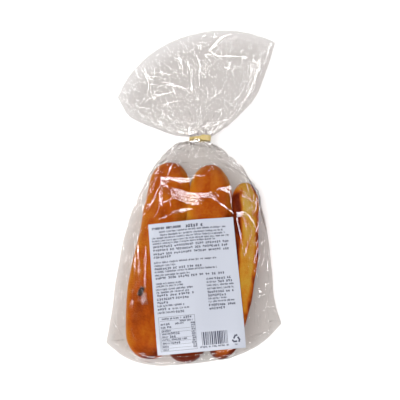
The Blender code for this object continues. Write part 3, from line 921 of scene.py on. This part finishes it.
def pale_values(verts, share, seed):
    """Baking of a roll that lies on its side: pale, with a dark side, a dark rim and brown mottles."""
    y = verts[:, 1]
    border = DARK_SIDE_BORDER + DARK_SIDE_WAVE * hash_noise(verts / DARK_SIDE_CELL, seed + 9)
    dark_side = smoothstep((border - share) / DARK_SIDE_WIDTH) * fade(y, DARK_SIDE_END)
    bake_and_shade = PALE_BAKE + PALE_LOW_DARKER * fade(y, PALE_LOW_FADE)
    bake_and_shade = bake_and_shade + DARK_SIDE * dark_side + RIM * fade(share, RIM_FADE)
    bake_and_shade = bake_and_shade + MOTTLE * fade(hash_noise(verts / MOTTLE_CELL, seed + 11), MOTTLE_FADE)
    return bake_and_shade + PALE_TOP_DARKER * fade(y, PALE_TOP_FADE) * fade(np.abs(share), SIDE_FADE)


def domed_values(verts, outward, share):
    """Baking of a roll that lies on its base: brown on the dome, lighter down its sides."""
    y = verts[:, 1]
    bake_and_shade = DOME_BAKE - SIDE_LIGHTER * fade(np.abs(share), SIDE_FADE) * fade(outward[:, 2], FACING_FADE)
    return bake_and_shade + TOP_DARKER * fade(y, TOP_FADE) + LOW_DARKER * fade(y, LOW_FADE)


def crust_values(verts, outward, share, spec):
    """How dark each point is: pale where rolls touched or lay on their side, dark on domes, darker towards
    the bottom end, and with painted shade on a flank that lies in the shade beside the next roll.
    """
    y = verts[:, 1]
    seed = spec["seed"]
    bake_and_shade = pale_values(verts, share, seed) if spec["side_lying"] else domed_values(verts, outward, share)
    bake_and_shade = bake_and_shade + spec["left_bake"] * fade(share, LEFT_FADE)
    # Painted shade: the lower right flank darkened where it lies in the shade beside the next roll
    bake_and_shade = bake_and_shade + spec["right_painted_shade"] * fade(share, SHADED_FADE) * fade(y, SHADED_END)
    # Darker towards the bottom end
    bake_and_shade = bake_and_shade + spec["bottom_darker"] * fade(y, BOTTOM_FADE)
    for cell, amount, number in CLOUDS:
        bake_and_shade = bake_and_shade + amount * hash_noise(verts / cell, seed + number)
    return bake_and_shade


def make_rolls():
    """The three rolls; returns coarser ones too, for the film to rest on."""
    shapes = []
    for name, spec in ROLLS.items():
        verts, faces, outward, share = roll_points(spec, ROLL_STATIONS, ROLL_AROUND)
        obj = new_object(name, verts, faces, crust_material(name + "_crust"))
        add_bake_and_shade(obj, np.clip(crust_values(verts, outward, share, spec), 0.0, 1.0))
        in_bag(obj)
        shapes.append(roll_points(spec, COARSE_STATIONS, COARSE_AROUND)[:2])
    return shapes


def pleated(rings):
    """The film's form with narrow pleats close to the neck and a little unevenness everywhere."""
    rows, columns = rings.shape[:2]
    around = np.arange(columns) / columns
    away = np.abs(rings[..., 1].mean(axis=1) - FAN_POLE[1])
    amplitude = PLEAT_HEIGHT * np.exp(-(away / PLEAT_REACH) ** 2)
    wave = np.zeros((rows, columns))
    for count, phase, share in PLEATS:
        wave += share * np.sin(2.0 * math.pi * count * around[None, :] + phase + PLEAT_TURN * away[:, None])
    out = rings.copy()
    out[..., 2] += amplitude[:, None] * wave
    out[..., 0] += PLEAT_SIDEWAYS * amplitude[:, None] * np.roll(wave, PLEAT_SHIFT, axis=1)
    flat = out.reshape(-1, 3)
    shake = [hash_noise(flat / START_CELL + START_APART * k, START_SEED + k) for k in range(3)]
    flat = flat + START_NOISE * np.stack(shake, axis=-1)
    flat[:, 2] = np.maximum(flat[:, 2], LOWEST)
    return flat.reshape(rings.shape)


def weigh(group, values):
    """Puts points into a vertex group by their values, to two decimals."""
    values = np.round(np.clip(values, 0.0, 1.0), 2).ravel()
    for value in np.unique(values):
        if value > 0.0:
            group.add(np.nonzero(values == value)[0].tolist(), float(value), "REPLACE")


def sim_object(name, points, faces):
    """A mesh object in the simulation's units, which is removed again after it."""
    mesh = bpy.data.meshes.new(name)
    mesh.from_pydata((points * SIM_SCALE).tolist(), [], [tuple(int(i) for i in f) for f in faces])
    obj = bpy.data.objects.new(name, mesh)
    bpy.context.scene.collection.objects.link(obj)
    return obj


def hold_values(start, in_flare, from_edge):
    """How firmly each point of the film keeps its place: the seam, the edges and the waist the most."""
    rows, columns = start.shape[:2]
    uneven = hash_noise(start.reshape(-1, 3) / HOLD_CELL, HOLD_SEED).reshape(rows, columns)
    hold = np.where(in_flare, FLARE_HOLD, BODY_HOLD) + HOLD_UNEVEN * uneven
    near_edge = [from_edge == k for k in range(len(EDGE_HOLDS))]
    hold = np.maximum(hold, np.select(near_edge, list(EDGE_HOLDS), 0.0))
    hold[0] = SEAM_HOLD
    hold[-1] = MOUTH_HOLD
    hold[-2] = np.maximum(hold[-2], NEXT_ROW_HOLD)
    hold[1] = np.maximum(hold[1], NEXT_ROW_HOLD)
    hold[BODY_STATIONS:BODY_STATIONS + WAIST_STATIONS] = 1.0
    return hold


def growth_values(start, in_flare, from_edge):
    """How much length each point of the film has to spare: the most at the neck."""
    rows, columns = start.shape[:2]
    away = np.abs(start[..., 1] - FAN_POLE[1])
    inner = np.clip(from_edge / GROWTH_EDGE_STEPS, 0.0, 1.0)
    growth = np.where(in_flare, FLARE_GROWTH, BODY_GROWTH) * inner
    uneven = hash_noise(start.reshape(-1, 3) / GROWTH_CELL, GROWTH_SEED).reshape(rows, columns)
    growth = growth * (1.0 + GROWTH_UNEVEN * uneven)
    return growth + NECK_GROWTH * np.exp(-(away / NECK_GROWTH_REACH) ** 2)


def add_cloth(start, hold, growth):
    """The film as cloth that is held by its weights and grows where it has length to spare."""
    most = float(growth.max())
    cloth = sim_object("draped", start.reshape(-1, 3), sheet_faces(*start.shape[:2]))
    weigh(cloth.vertex_groups.new(name="hold"), hold)
    weigh(cloth.vertex_groups.new(name="less"), 1.0 - growth / most)
    modifier = cloth.modifiers.new("drape", "CLOTH")
    modifier.settings.shrink_min = -most
    for name, value in CLOTH_VALUES.items():
        setattr(modifier.settings, name, value)
    modifier.settings.effector_weights.gravity = CLOTH_GRAVITY
    modifier.collision_settings.distance_min = CLOTH_GAP
    modifier.collision_settings.use_self_collision = False
    modifier.point_cache.frame_start = 1
    modifier.point_cache.frame_end = SIM_FRAMES
    return cloth


def run_cloth(cloth):
    """Steps through the simulation and returns the points of the cloth at its end."""
    scene = bpy.context.scene
    scene.frame_start = 1
    scene.frame_end = SIM_FRAMES
    for number in range(1, SIM_FRAMES + 1):
        scene.frame_set(number)
    result = cloth.evaluated_get(bpy.context.evaluated_depsgraph_get()).data
    places = np.empty(3 * len(result.vertices))
    result.vertices.foreach_get("co", places)
    scene.frame_set(1)
    return places


def drape(rings, shapes):
    """The film after a short simulation: with a little length to spare it crumples around the rolls."""
    start = pleated(rings)
    steps = np.arange(rings.shape[1])
    from_edge = np.minimum(np.minimum(steps, len(steps) - steps), np.abs(steps - ACROSS))
    in_flare = (rings[..., 1].mean(axis=1) > FAN_POLE[1])[:, None]
    hold = hold_values(start, in_flare, from_edge)
    growth = growth_values(start, in_flare, from_edge)
    cloth = add_cloth(start, hold, growth)
    ground = GROUND_HALF * np.array([(-1, -1, 0), (1, -1, 0), (1, 1, 0), (-1, 1, 0)])
    helpers = [cloth]
    for number, (points, faces) in enumerate([(ground, [(0, 1, 2, 3)])] + shapes):
        body = sim_object(f"solid_{number}", points, faces)
        body.modifiers.new("hit", "COLLISION")
        body.collision.thickness_outer = SOLID_SKIN
        helpers.append(body)
    places = run_cloth(cloth)
    for helper in helpers:
        data = helper.data
        bpy.data.objects.remove(helper)
        bpy.data.meshes.remove(data)
    return places.reshape(rings.shape) / SIM_SCALE


def curve_values(grid, at, closed):
    """Values of a grid along its first axis at places between its rows, on smooth curves."""
    count = len(grid)
    i = np.floor(at).astype(int)
    u = (at - i).reshape((-1,) + (1,) * (grid.ndim - 1))
    picks = [i - 1, i, i + 1, i + 2]
    picks = [p % count for p in picks] if closed else [np.clip(p, 0, count - 1) for p in picks]
    return catmull_rom(*(grid[p] for p in picks), u)


def finer(grid, rows, columns_at):
    """The grid with more rows, and with columns at the given places around."""
    taller = curve_values(grid, np.linspace(0.0, len(grid) - 1.0, rows), False)
    return curve_values(taller.swapaxes(0, 1), columns_at, True).swapaxes(0, 1)


def label_share(points):
    """One on the film under the label, fading to zero a little way around it."""
    turn = math.radians(LABEL_TURN)
    dx = points[..., 0] - LABEL_CENTRE[0]
    dy = points[..., 1] - LABEL_CENTRE[1]
    u = np.abs(dx * math.cos(turn) + dy * math.sin(turn)) - 0.5 * LABEL_WIDTH
    v = np.abs(-dx * math.sin(turn) + dy * math.cos(turn)) - 0.5 * LABEL_LENGTH
    outside = np.hypot(np.maximum(u, 0.0), np.maximum(v, 0.0)) + np.minimum(np.maximum(u, v), 0.0)
    return 1.0 - smoothstep((outside - LABEL_MARGIN) / LABEL_FADE)


def body_grid(draped, plain):
    """The film around the rolls, finer on its upper side, and as flat as its plain form under the label."""
    upper_at = np.arange(BODY_UPPER_STEPS) * ACROSS / BODY_UPPER_STEPS
    lower_at = ACROSS + np.arange(BODY_LOWER_STEPS) * ACROSS / BODY_LOWER_STEPS
    columns_at = np.concatenate([upper_at, lower_at])
    body = finer(draped, BODY_ROWS, columns_at)
    plain = finer(plain, BODY_ROWS, columns_at)
    upper = (np.arange(len(columns_at)) <= BODY_UPPER_STEPS)[None, :, None]
    return lerp(body, plain, np.where(upper, label_share(plain)[..., None], 0.0))


def flare_grid(draped):
    """The open flare, whose lower layer comes up to the upper one towards the mouth."""
    flare = finer(draped, FLARE_ROWS, np.arange(FLARE_STEPS) * 2.0 * ACROSS / FLARE_STEPS)
    half = FLARE_STEPS // 2
    over = flare[:, half - 1:0:-1, 2]
    closing = MOUTH_CLOSING * fade(np.arange(FLARE_ROWS) / FLARE_ROWS, (MOUTH_CLOSING_START, 1.0))
    flare[:, half + 1:, 2] = lerp(flare[:, half + 1:, 2], over, closing[:, None])
    return flare


def make_film(shapes):
    """The film in two pieces that meet under the tie; returns their surface, for the folds to lie on."""
    draped = drape(FORM, shapes)
    neck = BODY_STATIONS + WAIST_STATIONS // 2
    body = body_grid(draped[:neck + 1], FORM[:neck + 1])
    flare = flare_grid(draped[neck:])
    points = []
    faces = []
    for name, grid, tint, ior in (("film_body", body, BODY_TINT_AND_SHADE, BODY_IOR),
                                  ("film_flare", flare, FLARE_TINT, FLARE_IOR)):
        grid[..., 2] = np.maximum(grid[..., 2], LOWEST)
        grid_points = grid.reshape(-1, 3)
        quads = sheet_faces(*grid.shape[:2])
        obj = new_object(name, grid_points, quads, film_material(name + "_look", tint, FILM_ROUGHNESS, ior))
        in_bag(obj)
        faces += (quads + len(points)).tolist()
        points += grid_points.tolist()
    return BVHTree.FromPolygons(points, faces)


def smoothed(values, times):
    """Values with each averaged with its neighbours, a number of times over."""
    for _ in range(times):
        values[1:-1] = 0.25 * values[:-2] + 0.5 * values[1:-1] + 0.25 * values[2:]
    return values


def mirror_slopes(line, off):
    """How steeply film beside a line must fall, in a level direction, to mirror the best softbox for it."""
    step = np.gradient(line, axis=0)
    step /= np.maximum(np.linalg.norm(step[:, :2], axis=1), 1e-6)[:, None]
    view = CAMERA_PLACE - line
    view /= np.linalg.norm(view, axis=1)[:, None]
    best = np.full(len(line), FOLD_PLAIN_SLOPE)
    least = np.full(len(line), FOLD_MOST_MISS)
    for place in places_on_softboxes():
        light = place - line
        light /= np.linalg.norm(light, axis=1)[:, None]
        half = view + light
        wanted = half[:, :2] / half[:, 2:]
        slope = (wanted * off).sum(axis=1)
        miss = np.abs((wanted * step[:, :2]).sum(axis=1) + step[:, 2])
        better = (slope > FOLD_LEAST_SLOPE) & (miss < least)
        best = np.where(better, slope, best)
        least = np.where(better, miss, least)
    return best


def soft_noise(t, length, rng):
    """Smooth seeded values of about one in size along a line, with a new one every few millimetres."""
    knots = rng.standard_normal(2 + int(length / NOISE_SPACING))
    return along(np.column_stack([np.arange(len(knots)), knots]), t)[:, 1]


class FoldMesh:
    """Collects narrow tents of film that lie on the film's upper side."""

    def __init__(self, surface):
        self.tree = surface
        self.rows = []
        self.faces = []
        self.count = 0

    def even_heights(self, line):
        """Heights along a line on the film, smoothed, or nothing where the line leaves the film."""
        hits = [straight_below(self.tree, *place)[0] for place in line]
        if not all(hits):
            return None
        return smoothed(np.array([hit.z + FOLD_LIFT for hit in hits]), FOLD_SMOOTHINGS)

    def add(self, rows):
        rows = np.array(rows)
        self.faces.append(self.count + sheet_faces(*rows.shape[:2], closed=False))
        self.rows.append(rows.reshape(-1, 3))
        self.count += rows.shape[0] * rows.shape[1]

    def ridge(self, points, half_width, rng):
        """A tent along a smooth line, narrow at both ends and uneven on its way."""
        points = np.array(points, float)
        length = np.linalg.norm(np.diff(points, axis=0), axis=1).sum()
        count = max(LEAST_STEPS, int(length / FOLD_STEP))
        t = np.arange(count) / (count - 1)
        line = along(points, t)
        line = line + FOLD_BEND * soft_noise(t, length, rng)[:, None] * (-1.0, 1.0)
        direction = np.gradient(line, axis=0)
        direction /= np.maximum(np.linalg.norm(direction, axis=1), 1e-6)[:, None]
        off = np.stack([-direction[:, 1], direction[:, 0]], axis=-1)
        taper = FOLD_END_SHARE + (1.0 - FOLD_END_SHARE) * np.sin(math.pi * t) ** FOLD_TAPER_POWER
        half = half_width * taper * (1.0 + FOLD_SWELL * soft_noise(t, length, rng))
        heights = self.even_heights(line)
        if heights is None:
            return
        crest = np.column_stack([line, heights])
        left = mirror_slopes(crest, off) * (1.0 + FOLD_UNEVEN * soft_noise(t, length, rng))
        right = mirror_slopes(crest, -off) * (1.0 + FOLD_UNEVEN * soft_noise(t, length, rng))
        rise = half * 0.5 * (left + right)
        sides = [np.column_stack([line + off * (rise / left)[:, None], heights]),
                 np.column_stack([line - off * (rise / right)[:, None], heights])]
        crest[:, 2] += rise
        self.add([sides[0], crest, sides[1]])

    def bundle(self, points, width, rng):
        """A fold as a few thin ridges side by side, each over a share of the fold's length."""
        points = np.array(points, float)
        direction = (points[-1] - points[0]) / np.linalg.norm(points[-1] - points[0])
        off = np.array([-direction[1], direction[0]])
        count = max(1, round(width / BUNDLE_SPACING))
        for k in range(count):
            first = rng.uniform(0.0, BUNDLE_TRIM) if k else 0.0
            last = 1.0 - rng.uniform(0.0, BUNDLE_TRIM) if k else 1.0
            part = along(points, np.linspace(first, last, 2 + 2 * len(points)))
            shift = (k - 0.5 * (count - 1)) * width * SIDE_BY_SIDE + BUNDLE_SHIFT * rng.standard_normal()
            half = rng.uniform(*BUNDLE_HALF) * (FLARE_HALF_SHARE if points[0, 1] > WAIST_END else 1.0)
            self.ridge(part + off * shift, half, rng)

    def taut_heights(self, line):
        """Heights along a line stretched from crest to crest of the film."""
        heights = self.even_heights(line)
        taut = smoothed(heights.copy(), GLEAM_SMOOTHINGS)
        taut = lerp(taut, taut.max(), GLEAM_LEVEL)
        return taut + GLEAM_RAISED * max(0.0, np.max(heights - taut))

    def gleam(self, far, near, pleats, rng):
        """Shallow pleats that face the far softbox, like steps one behind the other, with frayed edges."""
        length = math.dist(far[0], far[-1])
        steps = max(LEAST_STEPS, int(length / GLEAM_STEP))
        t = np.linspace(0.0, 1.0, steps)
        far = along(far, t)
        near = along(near, t)
        rows = []
        for k in range(pleats):
            high = lerp(far, near, k / pleats)
            low = lerp(far, near, (k + GLEAM_SHARE) / pleats)
            crest = np.column_stack([high, self.taut_heights(high)])
            slope = mirror_slopes(crest, np.tile((0.0, 1.0), (steps, 1)))
            slope = slope * (1.0 + GLEAM_UNEVEN * soft_noise(t, length, rng))
            for edge in (high, low):
                frayed = edge[:, 1] + GLEAM_FRAY * rng.standard_normal(steps)
                heights = crest[:, 2] + slope * (high[:, 1] - frayed)
                rows.append(np.column_stack([edge[:, 0], frayed, heights]))
        rows.append(np.column_stack([near, self.taut_heights(near)]))
        self.add(rows)


def crinkle_line(form, s, t, length, turn, rng):
    """A short bent line that starts on a form and runs along it, turned by an angle."""
    here = form(np.array([s]), np.array([t]), True)[0, :2]
    there = form(np.array([s]), np.array([min(t + AHEAD, 1.0)]), True)[0, :2]
    back = form(np.array([s]), np.array([max(t - AHEAD, 0.0)]), True)[0, :2]
    angle = math.atan2(there[1] - back[1], there[0] - back[0]) + turn
    points = [here]
    for _ in range(CRINKLE_PARTS):
        points.append(points[-1] + length / CRINKLE_PARTS * np.array([math.cos(angle), math.sin(angle)]))
        angle += CRINKLE_BEND * rng.standard_normal()
    return points


def flare_crinkle(rng):
    t = FLARE_CRINKLE_START + FLARE_CRINKLE_REACH * rng.random() ** FLARE_CRINKLE_CROWDING
    s = 0.5 + FLARE_CRINKLE_SPREAD * math.sin(math.pi * (rng.random() - 0.5))
    if rng.random() < RADIAL_SHARE:
        turn = RADIAL_TURN * rng.standard_normal()
    else:
        turn = rng.uniform(-CROSS_TURN, CROSS_TURN)
    shortest, middling, longest = FLARE_CRINKLE_LENGTHS
    length = rng.uniform(shortest, lerp(middling, longest, rng.random()))
    return crinkle_line(flare_form, s, t, length, turn, rng)


def margin_crinkle(rng):
    s = rng.uniform(*MARGIN_ACROSS)
    s = s if rng.random() < 0.5 else 1.0 - s
    t = rng.uniform(*MARGIN_ALONG)
    length = rng.uniform(*MARGIN_LENGTHS)
    return crinkle_line(body_form, s, t, length, MARGIN_TURN * rng.standard_normal(), rng)


def shoulder_crinkle(rng):
    s = rng.uniform(*SHOULDER_ACROSS)
    t = SHOULDER_TOP - SHOULDER_REACH * rng.random() ** SHOULDER_CROWDING
    length = rng.uniform(*SHOULDER_LENGTHS)
    return crinkle_line(body_form, s, t, length, SHOULDER_TURN * rng.standard_normal(), rng)


def make_folds(surface):
    """Sharp creases of the film: those seen in the photograph and many small seeded ones."""
    rng = np.random.default_rng(FOLD_SEED)
    folds = FoldMesh(surface)
    for width, *points in FOLDS:
        folds.bundle(points, width, rng)
    for level in SEAM_LEVELS:
        across = np.linspace(*SEAM_PLACES)
        folds.bundle(body_form(across, np.full_like(across, level), True)[:, :2], BUNDLE_SPACING, rng)
    for count, crinkle, halves in ((FLARE_CRINKLES, flare_crinkle, FLARE_CRINKLE_HALF),
                                   (MARGIN_CRINKLES, margin_crinkle, BODY_CRINKLE_HALF),
                                   (SHOULDER_CRINKLES, shoulder_crinkle, BODY_CRINKLE_HALF)):
        for _ in range(count):
            line = crinkle(rng)
            folds.ridge(line, rng.uniform(*halves), rng)
    gleams = FoldMesh(surface)
    gleam_rng = np.random.default_rng(GLEAM_SEED)
    for far, near, pleats in GLEAMS:
        gleams.gleam(far, near, pleats, gleam_rng)
    for name, mesh, roughness, ior in (("film_folds", folds, FOLD_ROUGHNESS, FOLD_IOR),
                                       ("film_gleams", gleams, GLEAM_ROUGHNESS, GLEAM_IOR)):
        material = film_material(name + "_look", FOLD_TINT, roughness, ior)
        obj = new_object(name, np.vstack(mesh.rows), np.vstack(mesh.faces), material, smooth=False)
        in_bag(obj)


def dress_nodes():
    """Better materials for the tie and the label, which stay as they are built."""
    for name, look in (("tie", TIE_LOOK), ("label", LABEL_LOOK)):
        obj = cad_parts[name]
        obj.data.materials.clear()
        obj.data.materials.append(plain_material(name + "_look", *look))


def plain_strokes(kind, wide, thick, rng):
    """A simple mark: a stem, often a second one, and a bar across."""
    top = rng.choice(GLYPH_TOPS) if kind == "fine" else 1.0
    low = rng.choice(GLYPH_ENDS) if kind == "fine" else 0.0
    strokes = [(0.0, thick, low, top)]
    if rng.random() < SECOND_STEM_SHARE:
        strokes.append((wide - thick, wide, 0.0, 1.0))
    level = rng.choice([0.0, BAR_LEVEL, 1.0 - thick])
    strokes.append((0.0, wide, level, level + BAR_THIN * thick))
    return strokes


def dense_strokes(wide, thick, rng):
    """A dense mark: three bars across and two stems."""
    strokes = []
    for level in sorted(rng.choice(DENSE_LEVELS, size=3, replace=False)):
        left = rng.uniform(*DENSE_BAR_LEFT) * wide
        right = wide - rng.uniform(*DENSE_BAR_RIGHT) * wide
        strokes.append((left, right, level, level + DENSE_THIN * thick))
    for place in sorted(rng.choice(DENSE_STEMS, size=2, replace=False)):
        middle = place * (wide - thick)
        low = rng.uniform(*DENSE_STEM_LOW)
        strokes.append((middle, middle + thick, low, rng.uniform(*DENSE_STEM_TOP)))
    return strokes


def glyph_strokes(kind, rng):
    """A mark that stands for a character: strokes in a box of unit size, as (left, right, low, high)."""
    thick = PRINT_STROKE[kind] / PRINT_TALL[kind]
    wide = GLYPH_WIDTH * PRINT_PITCH[kind] / PRINT_TALL[kind]
    if kind in ("fine", "caps"):
        return plain_strokes(kind, wide, thick, rng)
    return dense_strokes(wide, thick, rng)


def row_marks(kind, start, end, level, rng):
    """Rectangles of one row of marks, broken into groups like words."""
    boxes = []
    tall = PRINT_TALL[kind]
    at = start
    left_in_group = int(rng.integers(*FIRST_WORD_MARKS))
    while at < end - 0.5 * PRINT_PITCH[kind]:
        if left_in_group == 0:
            at += WORD_GAP * PRINT_PITCH[kind]
            left_in_group = int(rng.integers(*WORD_MARKS))
            continue
        for left, right, low, high in glyph_strokes(kind, rng):
            boxes.append((at + left * tall, at + right * tall,
                          level + (low - 0.5) * tall, level + (high - 0.5) * tall))
        at += PRINT_PITCH[kind] * rng.uniform(*PITCH_UNEVEN)
        left_in_group -= 1
    return boxes


def table_marks(rng):
    """A ruled table with a column of figures at its right."""
    left, right, low, high = TABLE_BOX
    w = TABLE_LINE_WIDTH
    column_low, column_high = low + TABLE_COLUMN_ENDS[0], TABLE_COLUMN_ENDS[1]
    boxes = [(left, right, high - w, high), (left, right, low, low + w), (left, left + w, low, high),
             (right - w, right, low, high),
             (TABLE_INNER_LEFT, TABLE_INNER_LEFT + w, column_low, column_high)]
    for line in TABLE_LINES:
        start = TABLE_INNER_LEFT + TABLE_LINE_START * rng.random()
        boxes.append((start, FIGURE_COLUMN[0] - TABLE_LINE_GAP, line, line + TABLE_THIN * w))
    level = FIGURES_TOP
    while level > low + FIGURES_BOTTOM_GAP:
        start = FIGURE_COLUMN[0] + FIGURES_START * rng.random()
        boxes += row_marks("fine", start, FIGURE_COLUMN[1] + FIGURES_END, level, rng)
        level -= FIGURES_PITCH
    return boxes


def stripe_marks(rng):
    """A block of upright stripes over a row of ticks."""
    left, right, low, high = STRIPES
    boxes = []
    at = left
    while at < right:
        dark = STRIPE_MODULE * int(rng.integers(*STRIPE_MODULES))
        boxes.append((at, min(at + dark, right), low, high))
        at += dark + STRIPE_MODULE * int(rng.integers(*GAP_MODULES))
    return boxes + row_marks("fine", *TICKS, rng)


def bar(first, last, width):
    """A flat bar between two places as a four-cornered shape."""
    a = np.array(first)
    b = np.array(last)
    along_bar = (b - a) / np.linalg.norm(b - a)
    off = 0.5 * width * np.array([-along_bar[1], along_bar[0]])
    return [a - off, b - off, b + off, a + off]


def triangle_mark():
    """Three pairs of thick bars around a triangle."""
    corners = [np.array(MARK_CENTRE) + MARK_RADIUS * np.array([math.cos(a), math.sin(a)])
               for a in map(math.radians, MARK_CORNERS)]
    shapes = []
    for k, here in enumerate(corners):
        for step, first, last in MARK_BARS:
            other = corners[(k + step) % 3]
            shapes.append(bar(lerp(here, other, first), lerp(here, other, last), MARK_STROKE))
    return shapes


def split_long(shape):
    """Cuts a long four-cornered shape into short ones, so that it follows the curved label."""
    a, b, c, d = (np.array(p, float) for p in shape)
    across = max(1, math.ceil(np.linalg.norm(b - a) / PRINT_CUT))
    up = max(1, math.ceil(np.linalg.norm(d - a) / PRINT_CUT))
    corners = [[lerp(lerp(a, b, i / across), lerp(d, c, i / across), j / up) for j in range(up + 1)]
               for i in range(across + 1)]
    return [(corners[i][j], corners[i + 1][j], corners[i + 1][j + 1], corners[i][j + 1])
            for i in range(across) for j in range(up)]


def on_label(tree, dx, dy):
    """The place just above the label for a place on its drawing, or nothing beside the label."""
    turn = math.radians(LABEL_TURN)
    x = LABEL_CENTRE[0] + dx * math.cos(turn) - dy * math.sin(turn)
    y = LABEL_CENTRE[1] + dx * math.sin(turn) + dy * math.cos(turn)
    hit = straight_below(tree, (x + OFFSET[0]) * MM, (y + OFFSET[1]) * MM, HIGH_ABOVE * MM)[0]
    return (x, y, hit.z / MM + PRINT_LIFT) if hit else None


def make_print():
    """Small flat marks lying just above the label: rows, a ruled table, stripes and a triangle."""
    rng = np.random.default_rng(PRINT_SEED)
    boxes = []
    for kind, *rows in PRINT_ROWS:
        for start, end, level in rows:
            boxes += row_marks(kind, start, end, level, rng)
    boxes += table_marks(rng) + stripe_marks(rng)
    shapes = [[(x0, y0), (x1, y0), (x1, y1), (x0, y1)] for x0, x1, y0, y1 in boxes] + triangle_mark()
    tree = BVHTree.FromObject(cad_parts["label"], bpy.context.evaluated_depsgraph_get())
    verts = []
    faces = []
    for shape in shapes:
        for piece in split_long(shape):
            corners = [on_label(tree, *corner) for corner in piece]
            if all(corners):
                faces.append(tuple(range(len(verts), len(verts) + 4)))
                verts += corners
    obj = new_object("label_print", verts, faces, plain_material("print_ink", *INK_LOOK), smooth=False)
    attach(obj, "root")


def make_raisin(rolls):
    """A wrinkled raisin half sunk into the left roll."""
    points, faces = rolls[0]
    tree = BVHTree.FromPolygons(points.tolist(), [tuple(int(i) for i in f) for f in faces])
    hit, normal = straight_below(tree, *RAISIN_PLACE)
    bm = bmesh.new()
    bmesh.ops.create_icosphere(bm, subdivisions=RAISIN_FINENESS, radius=1.0)
    ball = np.array([v.co[:] for v in bm.verts])
    faces = [tuple(v.index for v in f.verts) for f in bm.faces]
    bm.free()
    furrows = np.abs(hash_noise(ball * RAISIN_FURROW_CELLS + RAISIN_SHIFT, RAISIN_SEED))
    dents = hash_noise(ball * RAISIN_DENT_CELLS, RAISIN_SEED + 1)
    creases = np.abs(hash_noise(ball * RAISIN_CREASE_CELLS, RAISIN_SEED + 2))
    wrinkle = 1.0 - RAISIN_FURROW * furrows
    wrinkle += RAISIN_DENT * dents - RAISIN_CREASE * creases
    ball = ball * wrinkle[:, None] * RAISIN_HALF
    up = np.array(normal)
    lengthwise = np.array(RAISIN_LENGTHWISE) - np.dot(RAISIN_LENGTHWISE, up) * up
    lengthwise /= np.linalg.norm(lengthwise)
    spin = np.stack([np.cross(lengthwise, up), lengthwise, up])
    places = ball @ spin + np.array(hit) - RAISIN_SUNK * up
    obj = new_object("raisin_1", places, faces, plain_material("raisin_skin", *RAISIN_LOOK))
    in_bag(obj)


# Stage

def make_camera():
    data = bpy.data.cameras.new("camera")
    data.sensor_width = SENSOR_WIDTH
    data.lens = SENSOR_WIDTH * CAMERA_DISTANCE / MM_PER_PIXEL / IMAGE_PIXELS
    data.clip_start = CLIP_START
    camera = bpy.data.objects.new("camera", data)
    camera.location = Vector((CAMERA_PLACE + OFFSET) * MM)
    camera.rotation_euler = Vector(-TO_CAMERA).to_track_quat("-Z", "Y").to_euler()
    bpy.context.scene.collection.objects.link(camera)
    bpy.context.scene.camera = camera


def make_floor():
    """A wide pale floor that glows a little, so that it stays white like the photograph's ground."""
    material, nodes, links = new_material("floor_white")
    out = add_node(nodes, "OutputMaterial")
    shader = add_node(nodes, "BsdfPrincipled", {
        "Base Color": (FLOOR_SHADE, FLOOR_SHADE, FLOOR_SHADE, 1.0), "Roughness": FLOOR_ROUGHNESS,
        "Specular IOR Level": 0.0, "Emission Color": (1.0, 1.0, 1.0, 1.0), "Emission Strength": FLOOR_GLOW})
    links.new(shader.outputs[0], out.inputs["Surface"])
    corners = [(-FLOOR_HALF, -FLOOR_HALF, 0), (FLOOR_HALF, -FLOOR_HALF, 0),
               (FLOOR_HALF, FLOOR_HALF, 0), (-FLOOR_HALF, FLOOR_HALF, 0)]
    floor = new_object("floor", corners, [(0, 1, 2, 3)], material, smooth=False)


def add_softbox(name, place, width, height, brightness):
    """A lamp behind a flat screen that faces the bag and shows in gloss only."""
    light = bpy.data.lights.new(name, "AREA")
    light.shape = "RECTANGLE"
    light.size = width
    light.size_y = height
    light.energy = brightness * math.pi * width * height
    obj = bpy.data.objects.new(name, light)
    obj.visible_diffuse = False
    obj.location = Vector((place + OFFSET) * MM)
    obj.rotation_euler = (-obj.location).to_track_quat("-Z", "Y").to_euler()
    bpy.context.scene.collection.objects.link(obj)


def make_lights():
    world = bpy.data.worlds.new("studio")
    world.use_nodes = True
    world.node_tree.nodes["Background"].inputs[0].default_value = (1.0, 1.0, 1.0, 1.0)
    world.node_tree.nodes["Background"].inputs[1].default_value = SURROUNDINGS
    bpy.context.scene.world = world
    overhead = bpy.data.lights.new("overhead", "SUN")
    overhead.energy = OVERHEAD_STRENGTH
    overhead.angle = math.radians(OVERHEAD_SPREAD)
    lamp = bpy.data.objects.new("overhead", overhead)
    lamp.rotation_euler = Vector(OVERHEAD_FROM).to_track_quat("Z", "Y").to_euler()
    lamp.visible_glossy = False
    bpy.context.scene.collection.objects.link(lamp)
    for (name, _, width, height, brightness), place in zip(SOFTBOXES, SOFTBOX_PLACES):
        add_softbox(name, place, width, height, brightness)
    scene = bpy.context.scene
    scene.view_settings.view_transform = "Standard"
    scene.view_settings.look = "None"
    scene.cycles.transparent_max_bounces = FILM_LAYERS_PASSED
    scene.cycles.max_bounces = LIGHT_BOUNCES


make_camera()
make_floor()
make_lights()
roll_shapes = make_rolls()
make_raisin(roll_shapes)
make_folds(make_film(roll_shapes))
dress_nodes()
make_print()
